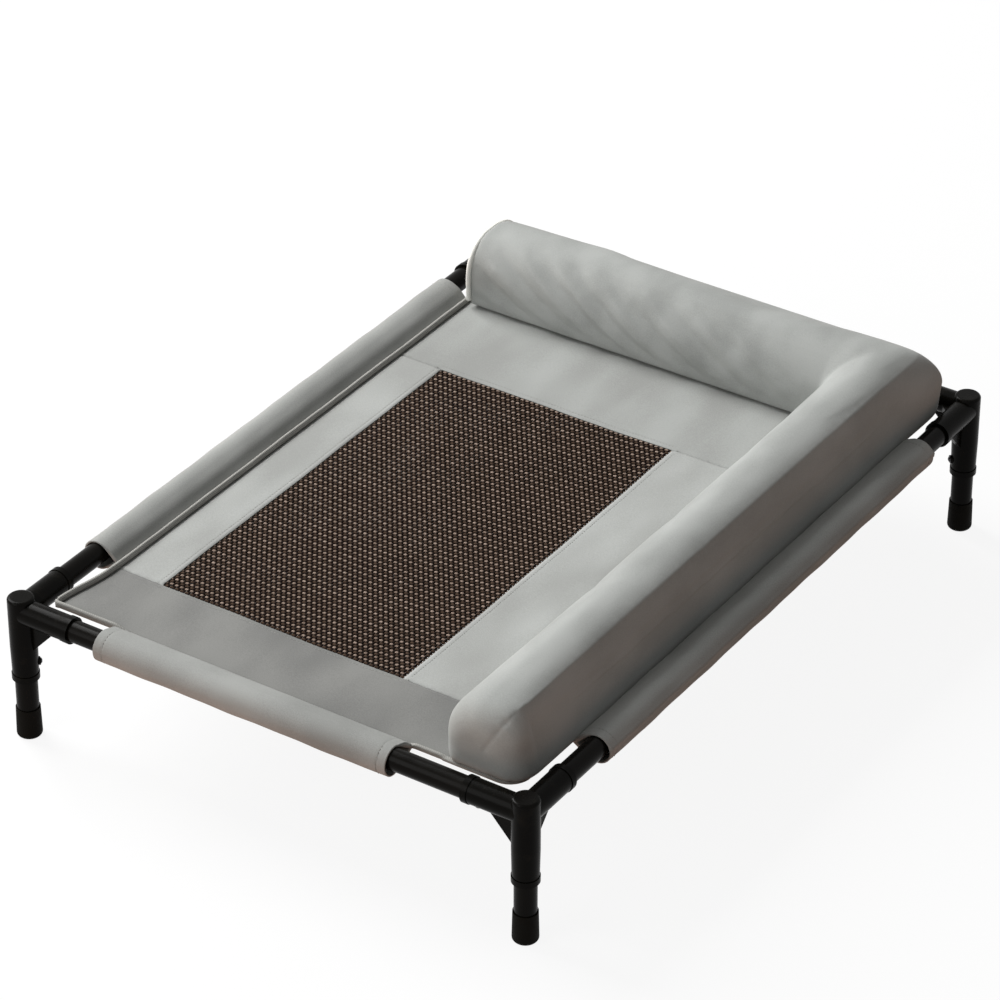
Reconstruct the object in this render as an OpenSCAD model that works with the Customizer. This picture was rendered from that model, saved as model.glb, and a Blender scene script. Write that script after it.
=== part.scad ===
// Raised dog cot: a knock-down steel tube frame on four legs, a sewn sling with a mesh window,
// and an L-shaped bolster that lifts off its hook-and-loop tapes.
// Millimetres, +Z up. The origin is on the floor at the middle of the frame; the bolster runs
// along the rear (+Y) and the right (+X) side.

/* [Frame] */
// Spacing of the left and right rail axes
rail_span_x = 730; // [620:5:900]
// Spacing of the front and rear rail axes
rail_span_y = 1040; // [900:5:1300]
// Height of the rail axes above the floor
rail_height = 184; // [165:1:260]

/* [Tubes] */
// Outside diameter of the rail and leg tubes
tube_d = 28; // [24:0.5:32]
// Wall of the rail and leg tubes
tube_wall = 1.2; // [0.8:0.1:2]

/* [Corner fittings] */
// Radial clearance between a tube and its socket
socket_fit = 0.2; // [0.1:0.05:0.4]
// Wall of the sockets
socket_wall = 2.2; // [1.6:0.1:3.5]
// Solid web left between the blind ends of the three sockets
socket_web = 6; // [4:0.5:9]
// Gap left between a tube's end and the blind end of its socket
tube_end_gap = 0.3; // [0.1:0.1:1]
// Distance from the leg axis to the mouth of a rail socket
arm_reach = 80; // [78:1:110]
// Distance from the rail axes down to the mouth of the leg socket
leg_socket_drop = 98; // [92:1:110]
// Extra wall of the upright round the leg socket
upright_extra = 0.8; // [0.4:0.1:2]
// Rise of the upright's cap above the rail sockets
cap_rise = 3.5; // [1:0.5:6]
// Edge rounding of the upright's cap
cap_round = 4; // [2:0.5:6]
// Height by which the rims at the socket mouths stand proud
rim_proud = 1; // [0.5:0.1:2]
// Width of the rims at the socket mouths
rim_w = 8; // [5:0.5:10]
// Length of a gusset along its rail socket, from the upright
gusset_run = 32; // [22:1:34]
// Length of a gusset down the upright, from its rail socket
gusset_drop = 35; // [24:1:42]
// Thickness of the gussets
gusset_t = 6; // [4:0.5:9]
// Length of the web in the inner corner, along each rail socket
corner_web = 12; // [6:1:18]
// Thickness of the web in the inner corner
corner_web_t = 8; // [5:0.5:12]

/* [Screws] */
// Shank diameter of the screws
screw_d = 4; // [3:0.25:5]
// Clearance round a shank in its hole, on the radius
screw_fit = 0.1; // [0.05:0.05:0.3]
// Length of a shank under its head
screw_len = 9; // [7:0.5:12]
// Diameter of the screw heads
screw_head_d = 8; // [7:0.25:10]
// Height of the screw heads
screw_head_h = 2.4; // [1.6:0.1:3.2]
// Length of the cross recess in a head
recess_len = 4.4; // [3:0.2:5]
// Width of the cross recess in a head
recess_w = 1.1; // [0.8:0.1:1.5]
// Depth of the cross recess in a head
recess_depth = 1.2; // [0.8:0.1:1.5]
// Diameter of the screw bosses
boss_d = 11; // [10:0.5:14]
// Rise of the screw bosses above their socket
boss_rise = 1.6; // [1:0.1:3]
// Distance from the leg axis to a rail screw
rail_screw_at = 63; // [60:0.5:64]
// Distance from the rail axes down to a leg screw
leg_screw_at = 77; // [70:0.5:80]

/* [Feet] */
// Height of the foot caps
foot_h = 42; // [30:1:55]
// Wall of a foot cap at its mouth
foot_wall = 1.2; // [0.8:0.1:2.5]
// Widening of a foot cap from its mouth to its sole, on the radius
foot_flare = 0.8; // [0.2:0.1:2]
// Thickness of the sole
foot_sole = 4; // [3:0.5:8]
// Edge rounding of the sole
foot_round = 5; // [2:0.5:8]
// Width of the ring that the sole stands on
sole_ring_w = 6; // [3:0.5:8]
// Depth of the recess inside that ring
sole_recess = 1; // [0.5:0.1:1.5]

/* [Sling] */
// Distance from a rail axis to the outside of the seam
seam_inset = 33; // [28:1:45]
// Thickness of the bound seam
seam_t = 7.5; // [4:0.5:9]
// Rise of the standing seam above the panel, at the front and the left
seam_rise = 6.5; // [4:0.5:10]
// Edge rounding of the seam's top
seam_round = 3; // [1:0.1:4]
// Drop of the panel's top below the rail axes
panel_drop = 3.5; // [0:0.5:8]
// Thickness of the panel fabric
panel_t = 2.4; // [1.5:0.1:4]
// Thickness of the mesh
mesh_t = 1.2; // [0.8:0.1:2]
// Distance from the left rail axis to the mesh
mesh_left = 105; // [70:1:150]
// Distance from the right rail axis to the mesh
mesh_right = 268; // [200:1:300]
// Distance from the front rail axis to the mesh
mesh_front = 143; // [90:1:200]
// Distance from the rear rail axis to the mesh
mesh_rear = 291; // [220:1:330]
// Thickness of the sleeve fabric
sleeve_t = 2.2; // [1.5:0.1:3]
// Clearance between a sleeve and the top of its rail
sleeve_fit = 0.3; // [0.2:0.1:0.8]
// Slack of a sleeve round its rail, on the radius; the sleeve hangs from the rail's top
sleeve_slack = 3.2; // [0:0.1:6]
// Width over which the two sides of a sleeve are sewn together
sleeve_stitch = 6; // [4:0.5:8]
// Distance from the left rail axis to the end of the front and rear sleeves
sleeve_left_gap = 123; // [95:1:160]
// Distance from the right rail axis to the end of the front and rear sleeves
sleeve_right_gap = 182; // [120:1:220]
// Distance from the front rail axis to the end of the side sleeves
sleeve_front_gap = 149; // [115:1:200]
// Distance from the rear rail axis to the end of the side sleeves
sleeve_rear_gap = 124; // [95:1:180]

/* [Bolster] */
// Width of the bolster
bolster_w = 115; // [105:1:140]
// Height of the bolster
bolster_h = 91; // [85:1:125]
// Rounding of the top on the inner side
bolster_inner_r = 54; // [40:1:60]
// Rounding of the top on the outer side
bolster_outer_r = 34; // [25:1:40]
// Rounding of the inner corner, where the two runs meet
bolster_turn_r = 4; // [3:0.5:20]
// Draw-in of the base on the inner side
inner_draw_w = 4; // [4:0.5:8]
// Height over which the inner side draws in
inner_draw_h = 16; // [10:1:24]
// Draw-in of the base on the outer side
outer_draw_w = 12; // [10:0.5:18]
// Height over which the outer side draws in
outer_draw_h = 34; // [24:1:40]
// Overhang of the bolster's outer side past the seam
bolster_overhang = 8; // [2:0.5:10]
// Gap between the left seam and the piping
bolster_left_gap = 1; // [0.5:0.5:60]
// Draw-in of the left end at its piping
left_draw = 3; // [0:0.5:6]
// Length over which the left end draws in
left_draw_l = 70; // [40:1:120]
// Squareness of the bolster's outer corner
corner_power = 16; // [4:0.5:24]
// Rounding of the bolster's front end in plan
end_round = 28; // [20:1:40]
// Rounding of the top of the bolster's front end
end_crown = 38; // [30:1:44]
// Draw-in of the base of the bolster's front end
end_draw_l = 5; // [3:0.5:16]
// Height over which the front end draws in at its base
end_draw_h = 20; // [12:1:36]
// Overhang of the bolster's front end past the front seam
front_overhang = 3; // [0:0.5:10]
// Gap between the end of the standing front seam and the bolster's inner side
seam_end_gap = 1; // [0.5:0.5:20]
// Thickness of the bolster's cover
cover_t = 2; // [1:0.1:3]
// Slack between the cover and its filling
fill_gap = 0.3; // [0.2:0.1:0.6]
// Diameter of the piping on the bolster's left end
piping_d = 6; // [4:0.5:8]
// Thickness of one fastening tape
tape_t = 1.4; // [0.8:0.1:2]
// Width of the fastening tapes
tape_w = 50; // [30:1:70]
// Distance from the ends of each run to its fastening tape
tape_end_gap = 30; // [20:1:60]
// Gap between the two halves of a fastening tape
tape_gap = 0.3; // [0.2:0.1:0.5]

/* [Hidden] */
$fn = 64;
// Length by which a cut runs past the face that it opens
cut_past = 1;

// Corners in order round the frame: side along X, side along Y, turn of the fitting
CORNERS = [[-1, -1, 0], [1, -1, 90], [1, 1, 180], [-1, 1, 270]];

tube_r = tube_d / 2;
bore_r = tube_r + socket_fit;
arm_r = bore_r + socket_wall;
upright_r = arm_r + upright_extra;
socket_stop = bore_r + socket_web;
rail_inset = socket_stop + tube_end_gap;
boss_face = arm_r + boss_rise;
upright_boss_face = upright_r + boss_rise;

foot_r = bore_r + foot_wall;

half_x = rail_span_x / 2;
half_y = rail_span_y / 2;
seam_x = half_x - seam_inset;
seam_y = half_y - seam_inset;
panel_x = seam_x - seam_t;
panel_y = seam_y - seam_t;
panel_top = rail_height - panel_drop;
panel_bottom = panel_top - panel_t;
flat_seam_rise = 2 * tape_t;
mesh_x0 = mesh_left - half_x;
mesh_x1 = half_x - mesh_right;
mesh_y0 = mesh_front - half_y;
mesh_y1 = half_y - mesh_rear;

// Bolster: its inner corner turns about a pivot just inside the lying area
base_z = panel_top + 2 * tape_t + tape_gap;
pivot_x = seam_x + bolster_overhang - bolster_w - bolster_turn_r;
pivot_y = seam_y + bolster_overhang - bolster_w - bolster_turn_r;
piping_r = piping_d / 2;
// Share of its radius by which the piping's middle stands off the edge, both ways
piping_stand = 0.75;
piping_sides = 8;
left_end_x = bolster_left_gap + (1 + piping_stand) * piping_r - panel_x;
front_end_y = -seam_y - front_overhang;

// Points of an elliptical arc from angle a0 to a1 in n steps
function arc(centre, rx, ry, a0, a1, n) = [
    for (i = [0:n])
        let (a = a0 + (a1 - a0) * i / n)
            [centre[0] + rx * cos(a), centre[1] + ry * sin(a)]
];

// How far a rounded end of radius r draws in at distance d from its tip
function drawn_in(d, r) = d >= r ? 0 : r - sqrt(r * r - (r - d) * (r - d));

// Share of the full section at angle a of the outer corner, a superellipse round the pivot
function corner_share(a) =
    let (reach = bolster_turn_r + bolster_w)
        (reach / pow(pow(abs(cos(a)), corner_power) + pow(abs(sin(a)), corner_power), 1 / corner_power)
            - bolster_turn_r) / bolster_w;

// Turns a list of equal rings into one closed skin of triangles with flat ends
module skin(rings) {
    n = len(rings[0]);
    last = len(rings) - 1;
    points = [for (ring = rings) each ring];
    sides = [
        for (i = [0:last - 1], j = [0:n - 1])
            let (a = i * n + j, b = i * n + (j + 1) % n, c = a + n, d = b + n)
                each [[a, b, d], [a, d, c]]
    ];
    start = [for (j = [1:n - 2]) [0, j + 1, j]];
    finish = [for (j = [1:n - 2]) [last * n, last * n + j, last * n + j + 1]];
    polyhedron(points, concat(sides, start, finish));
}

module at_corner(i) {
    translate([CORNERS[i][0] * half_x, CORNERS[i][1] * half_y, rail_height])
        rotate([0, 0, CORNERS[i][2]])
            children();
}

// A rail socket along +X, with its rim at the mouth
module arm() {
    rotate([0, 90, 0]) {
        cylinder(r = arm_r, h = arm_reach);
        translate([0, 0, arm_reach - rim_w])
            cylinder(r = arm_r + rim_proud, h = rim_w);
    }
    translate([rail_screw_at, 0, -boss_face])
        cylinder(d = boss_d, h = boss_face);
}

// Triangular gusset in the plane of +X and -Z
module gusset() {
    run = upright_r + gusset_run;
    drop = arm_r + gusset_drop;
    translate([0, gusset_t / 2, 0])
        rotate([90, 0, 0])
            linear_extrude(gusset_t)
                polygon([[0, 0], [run, 0], [run, -arm_r], [upright_r, -drop], [0, -drop]]);
}

// Upright with a rounded cap, closed above and open below for the leg
module upright() {
    top = arm_r + cap_rise;
    rotate_extrude()
        polygon(concat(
            [[0, -leg_socket_drop], [arm_r + rim_proud, -leg_socket_drop],
             [arm_r + rim_proud, rim_w - leg_socket_drop], [arm_r, rim_w - leg_socket_drop],
             [upright_r, -arm_r - gusset_drop]],
            arc([upright_r - cap_round, top - cap_round], cap_round, cap_round, 0, 90, 5),
            [[0, top]]
        ));
}

// Moulded three-way corner: two rail sockets, one leg socket, gussets and screw bosses
module corner_fitting() {
    color("#171614")
    difference() {
        union() {
            upright();
            for (turn = [0, 90])
                rotate([0, 0, turn]) {
                    arm();
                    gusset();
                }
            translate([0, 0, -corner_web_t / 2])
                linear_extrude(corner_web_t)
                    polygon([[0, 0], [arm_r + corner_web, 0], [arm_r + corner_web, arm_r],
                             [arm_r, arm_r + corner_web], [0, arm_r + corner_web]]);
            translate([0, 0, -leg_screw_at])
                rotate([90, 0, 135])
                    cylinder(d = boss_d, h = upright_boss_face);
        }
        for (turn = [0, 90])
            rotate([0, 0, turn])
                translate([socket_stop, 0, 0])
                    rotate([0, 90, 0])
                        cylinder(r = bore_r, h = arm_reach);
        translate([0, 0, -2 * leg_socket_drop])
            cylinder(r = bore_r, h = 2 * leg_socket_drop - socket_stop);
        for (along = [[rail_screw_at, 0], [0, rail_screw_at]])
            translate([along[0], along[1], -2 * boss_face])
                cylinder(r = screw_d / 2 + screw_fit, h = 2 * boss_face);
        translate([0, 0, -leg_screw_at])
            rotate([90, 0, 135])
                cylinder(r = screw_d / 2 + screw_fit, h = 2 * upright_boss_face);
    }
}

// Steel tube along +Z with a screw hole through one wall at each height in holes
module tube(length, holes, hole_turn) {
    difference() {
        cylinder(r = tube_r, h = length);
        translate([0, 0, -cut_past])
            cylinder(r = tube_r - tube_wall, h = length + 2 * cut_past);
        for (z = holes)
            translate([0, 0, z])
                rotate([90, 0, hole_turn])
                    cylinder(r = screw_d / 2 + screw_fit, h = 2 * tube_r);
    }
}

// Rail centred on the origin, along +X, drilled from below
module rail(span) {
    length = span - 2 * rail_inset;
    hole = rail_screw_at - rail_inset;
    color("#1d1c1a")
        translate([-length / 2, 0, 0])
            rotate([0, 90, 0])
                tube(length, [hole, length - hole], 90);
}

module side_rail() {
    rotate([0, 0, 90])
        rail(rail_span_y);
}

// Leg tube below a corner, drilled on the side that faces the middle of the cot
module leg() {
    bottom = foot_sole - rail_height;
    length = -rail_inset - bottom;
    color("#1d1c1a")
        translate([0, 0, bottom])
            tube(length, [-leg_screw_at - bottom], 135);
}

// Rubber cap on the end of a leg, flared to a rounded sole that stands on a ring
module foot() {
    sole_r = foot_r + foot_flare;
    recess_r = sole_r - foot_round - sole_ring_w;
    color("#121110")
        translate([0, 0, -rail_height])
            rotate_extrude()
                polygon(concat(
                    [[0, sole_recess], [recess_r, sole_recess], [recess_r, 0]],
                    arc([sole_r - foot_round, foot_round], foot_round, foot_round, -90, 0, 5),
                    [[foot_r, foot_h], [bore_r, foot_h], [bore_r, foot_sole], [0, foot_sole]]
                ));
}

// Pan-head screw, its head's seat at the origin and its shank along -Z
module screw() {
    dome = 3;
    color("#2b2b2b")
    difference() {
        rotate_extrude()
            polygon(concat(
                [[0, -screw_len], [screw_d / 2, -screw_len], [screw_d / 2, 0], [screw_head_d / 2, 0]],
                arc([0, 0], screw_head_d / 2, screw_head_h, 90 / dome, 90, dome)
            ));
        for (turn = [0, 90])
            rotate([0, 0, turn])
                translate([-recess_len / 2, -recess_w / 2, screw_head_h - recess_depth])
                    cube([recess_len, recess_w, screw_head_h]);
    }
}

module rail_screws() {
    for (i = [0:3])
        at_corner(i)
            for (along = [[rail_screw_at, 0], [0, rail_screw_at]])
                translate([along[0], along[1], -boss_face])
                    rotate([180, 0, 0])
                        screw();
}

module leg_screws() {
    for (i = [0:3])
        at_corner(i)
            translate([0, 0, -leg_screw_at])
                rotate([90, 0, 135])
                    translate([0, 0, upright_boss_face])
                        screw();
}

// Point on a circle of radius r where a line from p touches it, above (side 1) or below (side -1)
function touch(p, r, side) =
    let (a = atan2(p[1], p[0]) + side * acos(r / norm(p)))
        [r * cos(a), r * sin(a)];

// Drop-shaped loop of a sleeve round its rail; +X points to the panel and the tip lies at the seam.
// Each flank touches a circle a little smaller than the loop's, so that it cuts the loop's circle
// at a small angle: a true tangent leaves a sliver that doesn't mesh closed
module sleeve_loop(r, tip_x, tip_half) {
    tip_y = (panel_top + panel_bottom) / 2 - rail_height + sleeve_slack;
    high = [tip_x, tip_y + tip_half];
    low = [tip_x, tip_y - tip_half];
    flank_r = 0.985 * r;
    translate([0, -sleeve_slack]) {
        circle(r = r);
        polygon([[0, 0], touch(low, flank_r, -1), low, high, touch(high, flank_r, 1)]);
    }
}

// Sleeve along +Y from y = 0, on a rail whose panel lies towards +X
module sleeve(length) {
    inner_r = tube_r + sleeve_fit + sleeve_slack;
    color("#a6a8a5")
        translate([0, length, 0])
            rotate([90, 0, 0])
                linear_extrude(length)
                    difference() {
                        sleeve_loop(inner_r + sleeve_t, seam_inset, sleeve_t);
                        sleeve_loop(inner_r, seam_inset - sleeve_stitch, sleeve_fit / 2);
                    }
}

module front_sleeve() {
    translate([half_x - sleeve_right_gap, -half_y, rail_height])
        rotate([0, 0, 90])
            sleeve(rail_span_x - sleeve_left_gap - sleeve_right_gap);
}

module left_sleeve() {
    translate([-half_x, sleeve_front_gap - half_y, rail_height])
        sleeve(rail_span_y - sleeve_front_gap - sleeve_rear_gap);
}

// Bound seam along +Y, as wide as seam_t, with a rounded top at the given rise over the panel;
// a thin or low seam limits its rounding
module seam(length, rise) {
    height = panel_t + rise;
    round_r = min(seam_round, seam_t / 2.5, rise);
    color("#b4b4b0")
        translate([0, length, panel_bottom])
            rotate([90, 0, 0])
                linear_extrude(length)
                    polygon(concat(
                        [[0, 0], [seam_t, 0]],
                        arc([seam_t - round_r, height - round_r], round_r, round_r, 0, 90, 4),
                        arc([round_r, height - round_r], round_r, round_r, 90, 180, 4)
                    ));
}

// The front seam stands up as far as the bolster and lies flat under it
module front_seam() {
    standing_end = pivot_x + bolster_turn_r - seam_end_gap;
    for (part = [[panel_x, flat_seam_rise], [standing_end, seam_rise]])
        translate([part[0], -seam_y, 0])
            rotate([0, 0, 90])
                seam(part[0] + panel_x, part[1]);
}

module rear_seam() {
    translate([panel_x, panel_y, 0])
        rotate([0, 0, 90])
            seam(2 * panel_x, flat_seam_rise);
}

module left_seam() {
    translate([-seam_x, -seam_y, 0])
        seam(2 * seam_y, seam_rise);
}

module right_seam() {
    translate([panel_x, -seam_y, 0])
        seam(2 * seam_y, flat_seam_rise);
}

// Flat piece of the sling between two corners, its top level with the panel's
module cloth(x0, x1, y0, y1, thickness, shade) {
    color(shade)
        translate([x0, y0, panel_top - thickness])
            cube([x1 - x0, y1 - y0, thickness]);
}

module front_panel() { cloth(-panel_x, panel_x, -panel_y, mesh_y0, panel_t, "#a9aba8"); }
module rear_panel() { cloth(-panel_x, panel_x, mesh_y1, panel_y, panel_t, "#a9aba8"); }
module left_panel() { cloth(-panel_x, mesh_x0, mesh_y0, mesh_y1, panel_t, "#a9aba8"); }
module right_panel() { cloth(mesh_x1, panel_x, mesh_y0, mesh_y1, panel_t, "#a9aba8"); }
module mesh_panel() { cloth(mesh_x0, mesh_x1, mesh_y0, mesh_y1, mesh_t, "#3a302b"); }

// Two tapes under the middle of the bolster, one along each run
module tapes(bottom, shade) {
    middle = bolster_turn_r + bolster_w / 2;
    color(shade)
        translate([0, 0, bottom]) {
            translate([left_end_x + tape_end_gap, pivot_y + middle - tape_w / 2, 0])
                cube([pivot_x - left_end_x - 2 * tape_end_gap, tape_w, tape_t]);
            translate([pivot_x + middle - tape_w / 2, front_end_y + tape_end_gap, 0])
                cube([tape_w, pivot_y - front_end_y - 2 * tape_end_gap, tape_t]);
        }
}

// Section of the bolster, drawn in by e: across it from the inner side, and up from its base
function bolster_section(e) = concat(
    arc([inner_draw_w, inner_draw_h], inner_draw_w - e, inner_draw_h - e, 270, 180, 3),
    arc([bolster_inner_r, bolster_h - bolster_inner_r], bolster_inner_r - e, bolster_inner_r - e, 180, 90, 7),
    arc([bolster_w - bolster_outer_r, bolster_h - bolster_outer_r], bolster_outer_r - e, bolster_outer_r - e,
        90, 0, 5),
    arc([bolster_w - outer_draw_w, outer_draw_h], outer_draw_w - e, outer_draw_h - e, 0, -90, 4)
);

// One ring: a section standing on a line from (x, y) at angle a, narrowed, lowered and lifted
function bolster_ring(section, x, y, a, share, narrow, lower, lift) =
    let (k = 1 - 2 * narrow / bolster_w, kz = (bolster_h - lower - lift) / bolster_h)
        [for (p = section)
            let (s = bolster_turn_r + share * (bolster_w / 2 + (p[0] - bolster_w / 2) * k))
                [x + s * cos(a), y + s * sin(a), base_z + lift + p[1] * kz]];

// Rings from the left end along the rear, round the corner and forward to the front end
function bolster_rings(e) =
    let (section = bolster_section(e), left_steps = 3, corner_steps = 8, end_steps = 6)
        concat(
            [for (i = [0:left_steps])
                let (t = i / left_steps, draw = left_draw * pow(1 - t, 2))
                    bolster_ring(section, left_end_x + e + left_draw_l * t, pivot_y, 90, 1, draw, draw, 0)],
            [for (i = [0:corner_steps])
                let (a = 90 - 90 * i / corner_steps)
                    bolster_ring(section, pivot_x, pivot_y, a, corner_share(a), 0, 0, 0)],
            [for (i = [0:end_steps])
                let (d = end_crown * pow(1 - i / end_steps, 2))
                    bolster_ring(section, pivot_x, front_end_y + e + d, 0, 1, drawn_in(d, end_round),
                                 drawn_in(d, end_crown), end_draw_h / end_draw_l * drawn_in(d, end_draw_l))]
        );

// Sewn cover, a closed skin with the filling's room inside
module bolster_cover() {
    color("#a3a5a2")
        difference() {
            skin(bolster_rings(0));
            skin(bolster_rings(cover_t));
        }
}

module bolster_filling() {
    color("#e9e6de")
        skin(bolster_rings(cover_t + fill_gap));
}

// Piping round the edge of the left end, from the base of the inner side over to the outer side
module bolster_end_piping() {
    path = [for (p = bolster_rings(0)[0]) if (p[2] > base_z + piping_d) [p[1], p[2]]];
    last = len(path) - 1;
    color("#c4c2bb")
        skin([
            for (i = [0:last])
                let (along = path[min(i + 1, last)] - path[max(i - 1, 0)],
                     out = [-along[1], along[0]] / norm(along))
                    [for (j = [0:piping_sides - 1])
                        let (a = 360 * j / piping_sides,
                             p = path[i] + out * piping_r * (piping_stand + cos(a)))
                            [left_end_x - piping_r * (piping_stand + sin(a)), p[0], p[1]]]
        ]);
}

at_corner(0) corner_fitting();  // corner_fitting_front_left
at_corner(1) corner_fitting();  // corner_fitting_front_right
at_corner(2) corner_fitting();  // corner_fitting_rear_right
at_corner(3) corner_fitting();  // corner_fitting_rear_left
translate([0, -half_y, rail_height]) rail(rail_span_x);  // front_rail
translate([0, half_y, rail_height]) rail(rail_span_x);  // rear_rail
translate([-half_x, 0, rail_height]) side_rail();  // left_rail
translate([half_x, 0, rail_height]) side_rail();  // right_rail
at_corner(0) leg();  // leg_front_left
at_corner(1) leg();  // leg_front_right
at_corner(2) leg();  // leg_rear_right
at_corner(3) leg();  // leg_rear_left
at_corner(0) foot();  // foot_front_left
at_corner(1) foot();  // foot_front_right
at_corner(2) foot();  // foot_rear_right
at_corner(3) foot();  // foot_rear_left
rail_screws();
leg_screws();
front_sleeve();
mirror([0, 1, 0]) front_sleeve();  // rear_sleeve
left_sleeve();
mirror([1, 0, 0]) left_sleeve();  // right_sleeve
front_seam();
rear_seam();
left_seam();
right_seam();
front_panel();
rear_panel();
left_panel();
right_panel();
mesh_panel();
tapes(panel_top, "#8d8e8b");  // panel_loop_tapes
tapes(panel_top + tape_t + tape_gap, "#6f706d");  // bolster_hook_tapes
bolster_cover();
bolster_filling();
bolster_end_piping();
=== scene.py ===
"""Looks of the raised dog cot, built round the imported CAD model.

All sizes are metres in the CAD model's frame: x to the right, y to the rear, z up, floor at z = 0.
The tube frame stays as CAD and gets its finishes. The soft goods are built here and stand for their CAD
solids.
"""

import logging
import math
from dataclasses import dataclass, field
from enum import Enum

import bpy
import numpy as np
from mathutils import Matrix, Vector


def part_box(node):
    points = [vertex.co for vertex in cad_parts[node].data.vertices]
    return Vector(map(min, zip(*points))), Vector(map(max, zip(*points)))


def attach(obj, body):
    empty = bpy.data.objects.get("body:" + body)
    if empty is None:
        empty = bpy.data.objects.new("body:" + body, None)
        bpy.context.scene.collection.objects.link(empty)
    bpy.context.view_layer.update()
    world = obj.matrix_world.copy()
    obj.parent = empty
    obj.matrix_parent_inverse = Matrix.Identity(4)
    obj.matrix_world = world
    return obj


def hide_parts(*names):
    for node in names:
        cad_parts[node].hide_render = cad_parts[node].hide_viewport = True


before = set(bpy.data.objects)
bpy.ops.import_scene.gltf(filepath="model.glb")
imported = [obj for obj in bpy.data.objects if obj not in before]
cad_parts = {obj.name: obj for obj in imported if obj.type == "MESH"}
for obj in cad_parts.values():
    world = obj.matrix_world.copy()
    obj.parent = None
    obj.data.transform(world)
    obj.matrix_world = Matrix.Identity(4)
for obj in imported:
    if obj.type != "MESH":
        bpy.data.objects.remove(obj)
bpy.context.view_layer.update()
MM = 0.001
BOLSTER_WIDTH = 115 * MM
LOG = logging.getLogger("dog_cot")

Tree = bpy.types.NodeTree
Socket = bpy.types.NodeSocket
Piece = bpy.types.Object
Pattern = tuple[Socket, Socket, dict[str, object]]


class Body(Enum):
    """Moving bodies of the cot."""

    FRAME = "frame"
    BOLSTER = "bolster"


class Slot(Enum):
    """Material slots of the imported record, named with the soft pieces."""

    SUEDE = "suede_fabric"
    BINDING = "seam_binding"
    MESH = "mesh_weave"
    TAPE = "fastening_tape"
    PIPING = "piping_fabric"


class Side(Enum):
    """Sides of the sling, as the CAD nodes name them."""

    FRONT = "front"
    REAR = "rear"
    LEFT = "left"
    RIGHT = "right"

    @property
    def inward(self) -> float:
        """Sign of the direction from the side's rail to the middle of the cot."""
        return 1.0 if self in (Side.FRONT, Side.LEFT) else -1.0

    @property
    def lengthwise(self) -> int:
        """Axis that the side's rail runs along: 0 for x, 1 for y."""
        return 0 if self in (Side.FRONT, Side.REAR) else 1


# Where the slow waves of each seam and each sleeve start, in radians.
SEAM_PHASE = {Side.FRONT: 0.3, Side.REAR: 1.9, Side.LEFT: 3.1, Side.RIGHT: 4.4}
SLEEVE_PHASE = {Side.FRONT: 0.4, Side.REAR: 1.3, Side.LEFT: 2.6, Side.RIGHT: 5.0}


def linear(code: str) -> tuple[float, float, float, float]:
    """Turn an sRGB hex colour into a linear one.

    Args:
        code: colour such as "#a9aba8".

    Returns:
        Linear red, green and blue, and an alpha of 1.
    """
    parts = [int(code[i:i + 2], 16) / 255 for i in (1, 3, 5)]
    red, green, blue = (c / 12.92 if c <= 0.04045 else ((c + 0.055) / 1.055) ** 2.4 for c in parts)
    return red, green, blue, 1.0


def add(tree: Tree, kind: str, inputs: dict | None = None, **settings: object) -> bpy.types.Node:
    """Add a node with its settings, values and links.

    Args:
        tree: node tree to add to.
        kind: Blender's name for the node's type.
        inputs: value or output socket for each input, by name or number.
        settings: the node's own properties.

    Returns:
        The new node.
    """
    node = tree.nodes.new(kind)
    for name, value in settings.items():
        setattr(node, name, value)
    for key, value in (inputs or {}).items():
        if isinstance(value, bpy.types.NodeSocket):
            tree.links.new(value, node.inputs[key])
        else:
            node.inputs[key].default_value = value
    return node


@dataclass(frozen=True)
class Finish:
    """A surface finish, made into a material once: two tones mixed by a pattern, with a fine relief."""

    name: str
    low: str
    high: str
    relief: float = 0.0
    depth: float = 0.2 * MM
    sunken: bool = False

    def material(self) -> bpy.types.Material:
        """Make the finish's material, or return it where it exists.

        Returns:
            A node material with a Principled shader.
        """
        made = bpy.data.materials.get(self.name)
        if made is None:
            made = bpy.data.materials.new(self.name)
            made.use_nodes = True
            tree = made.node_tree
            tree.nodes.clear()
            share, height, inputs = self.pattern(tree, add(tree, "ShaderNodeTexCoord").outputs["Object"])
            colour = add(tree, "ShaderNodeMix", {0: share, 6: linear(self.low), 7: linear(self.high)},
                         data_type="RGBA")
            inputs["Base Color"] = colour.outputs[2]
            if self.relief:
                bump = add(tree, "ShaderNodeBump",
                           {"Height": height, "Strength": self.relief, "Distance": self.depth},
                           invert=self.sunken)
                inputs["Normal"] = bump.outputs[0]
            shader = add(tree, "ShaderNodeBsdfPrincipled", inputs)
            add(tree, "ShaderNodeOutputMaterial", {"Surface": shader.outputs["BSDF"]})
        return made

    def pattern(self, tree: Tree, place: Socket) -> Pattern:
        """Build the textures of the finish.

        Args:
            tree: the material's node tree.
            place: Object coordinates, in metres.

        Returns:
            Share of the high tone, height of the relief, and the shader's other inputs.
        """
        raise NotImplementedError


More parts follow.
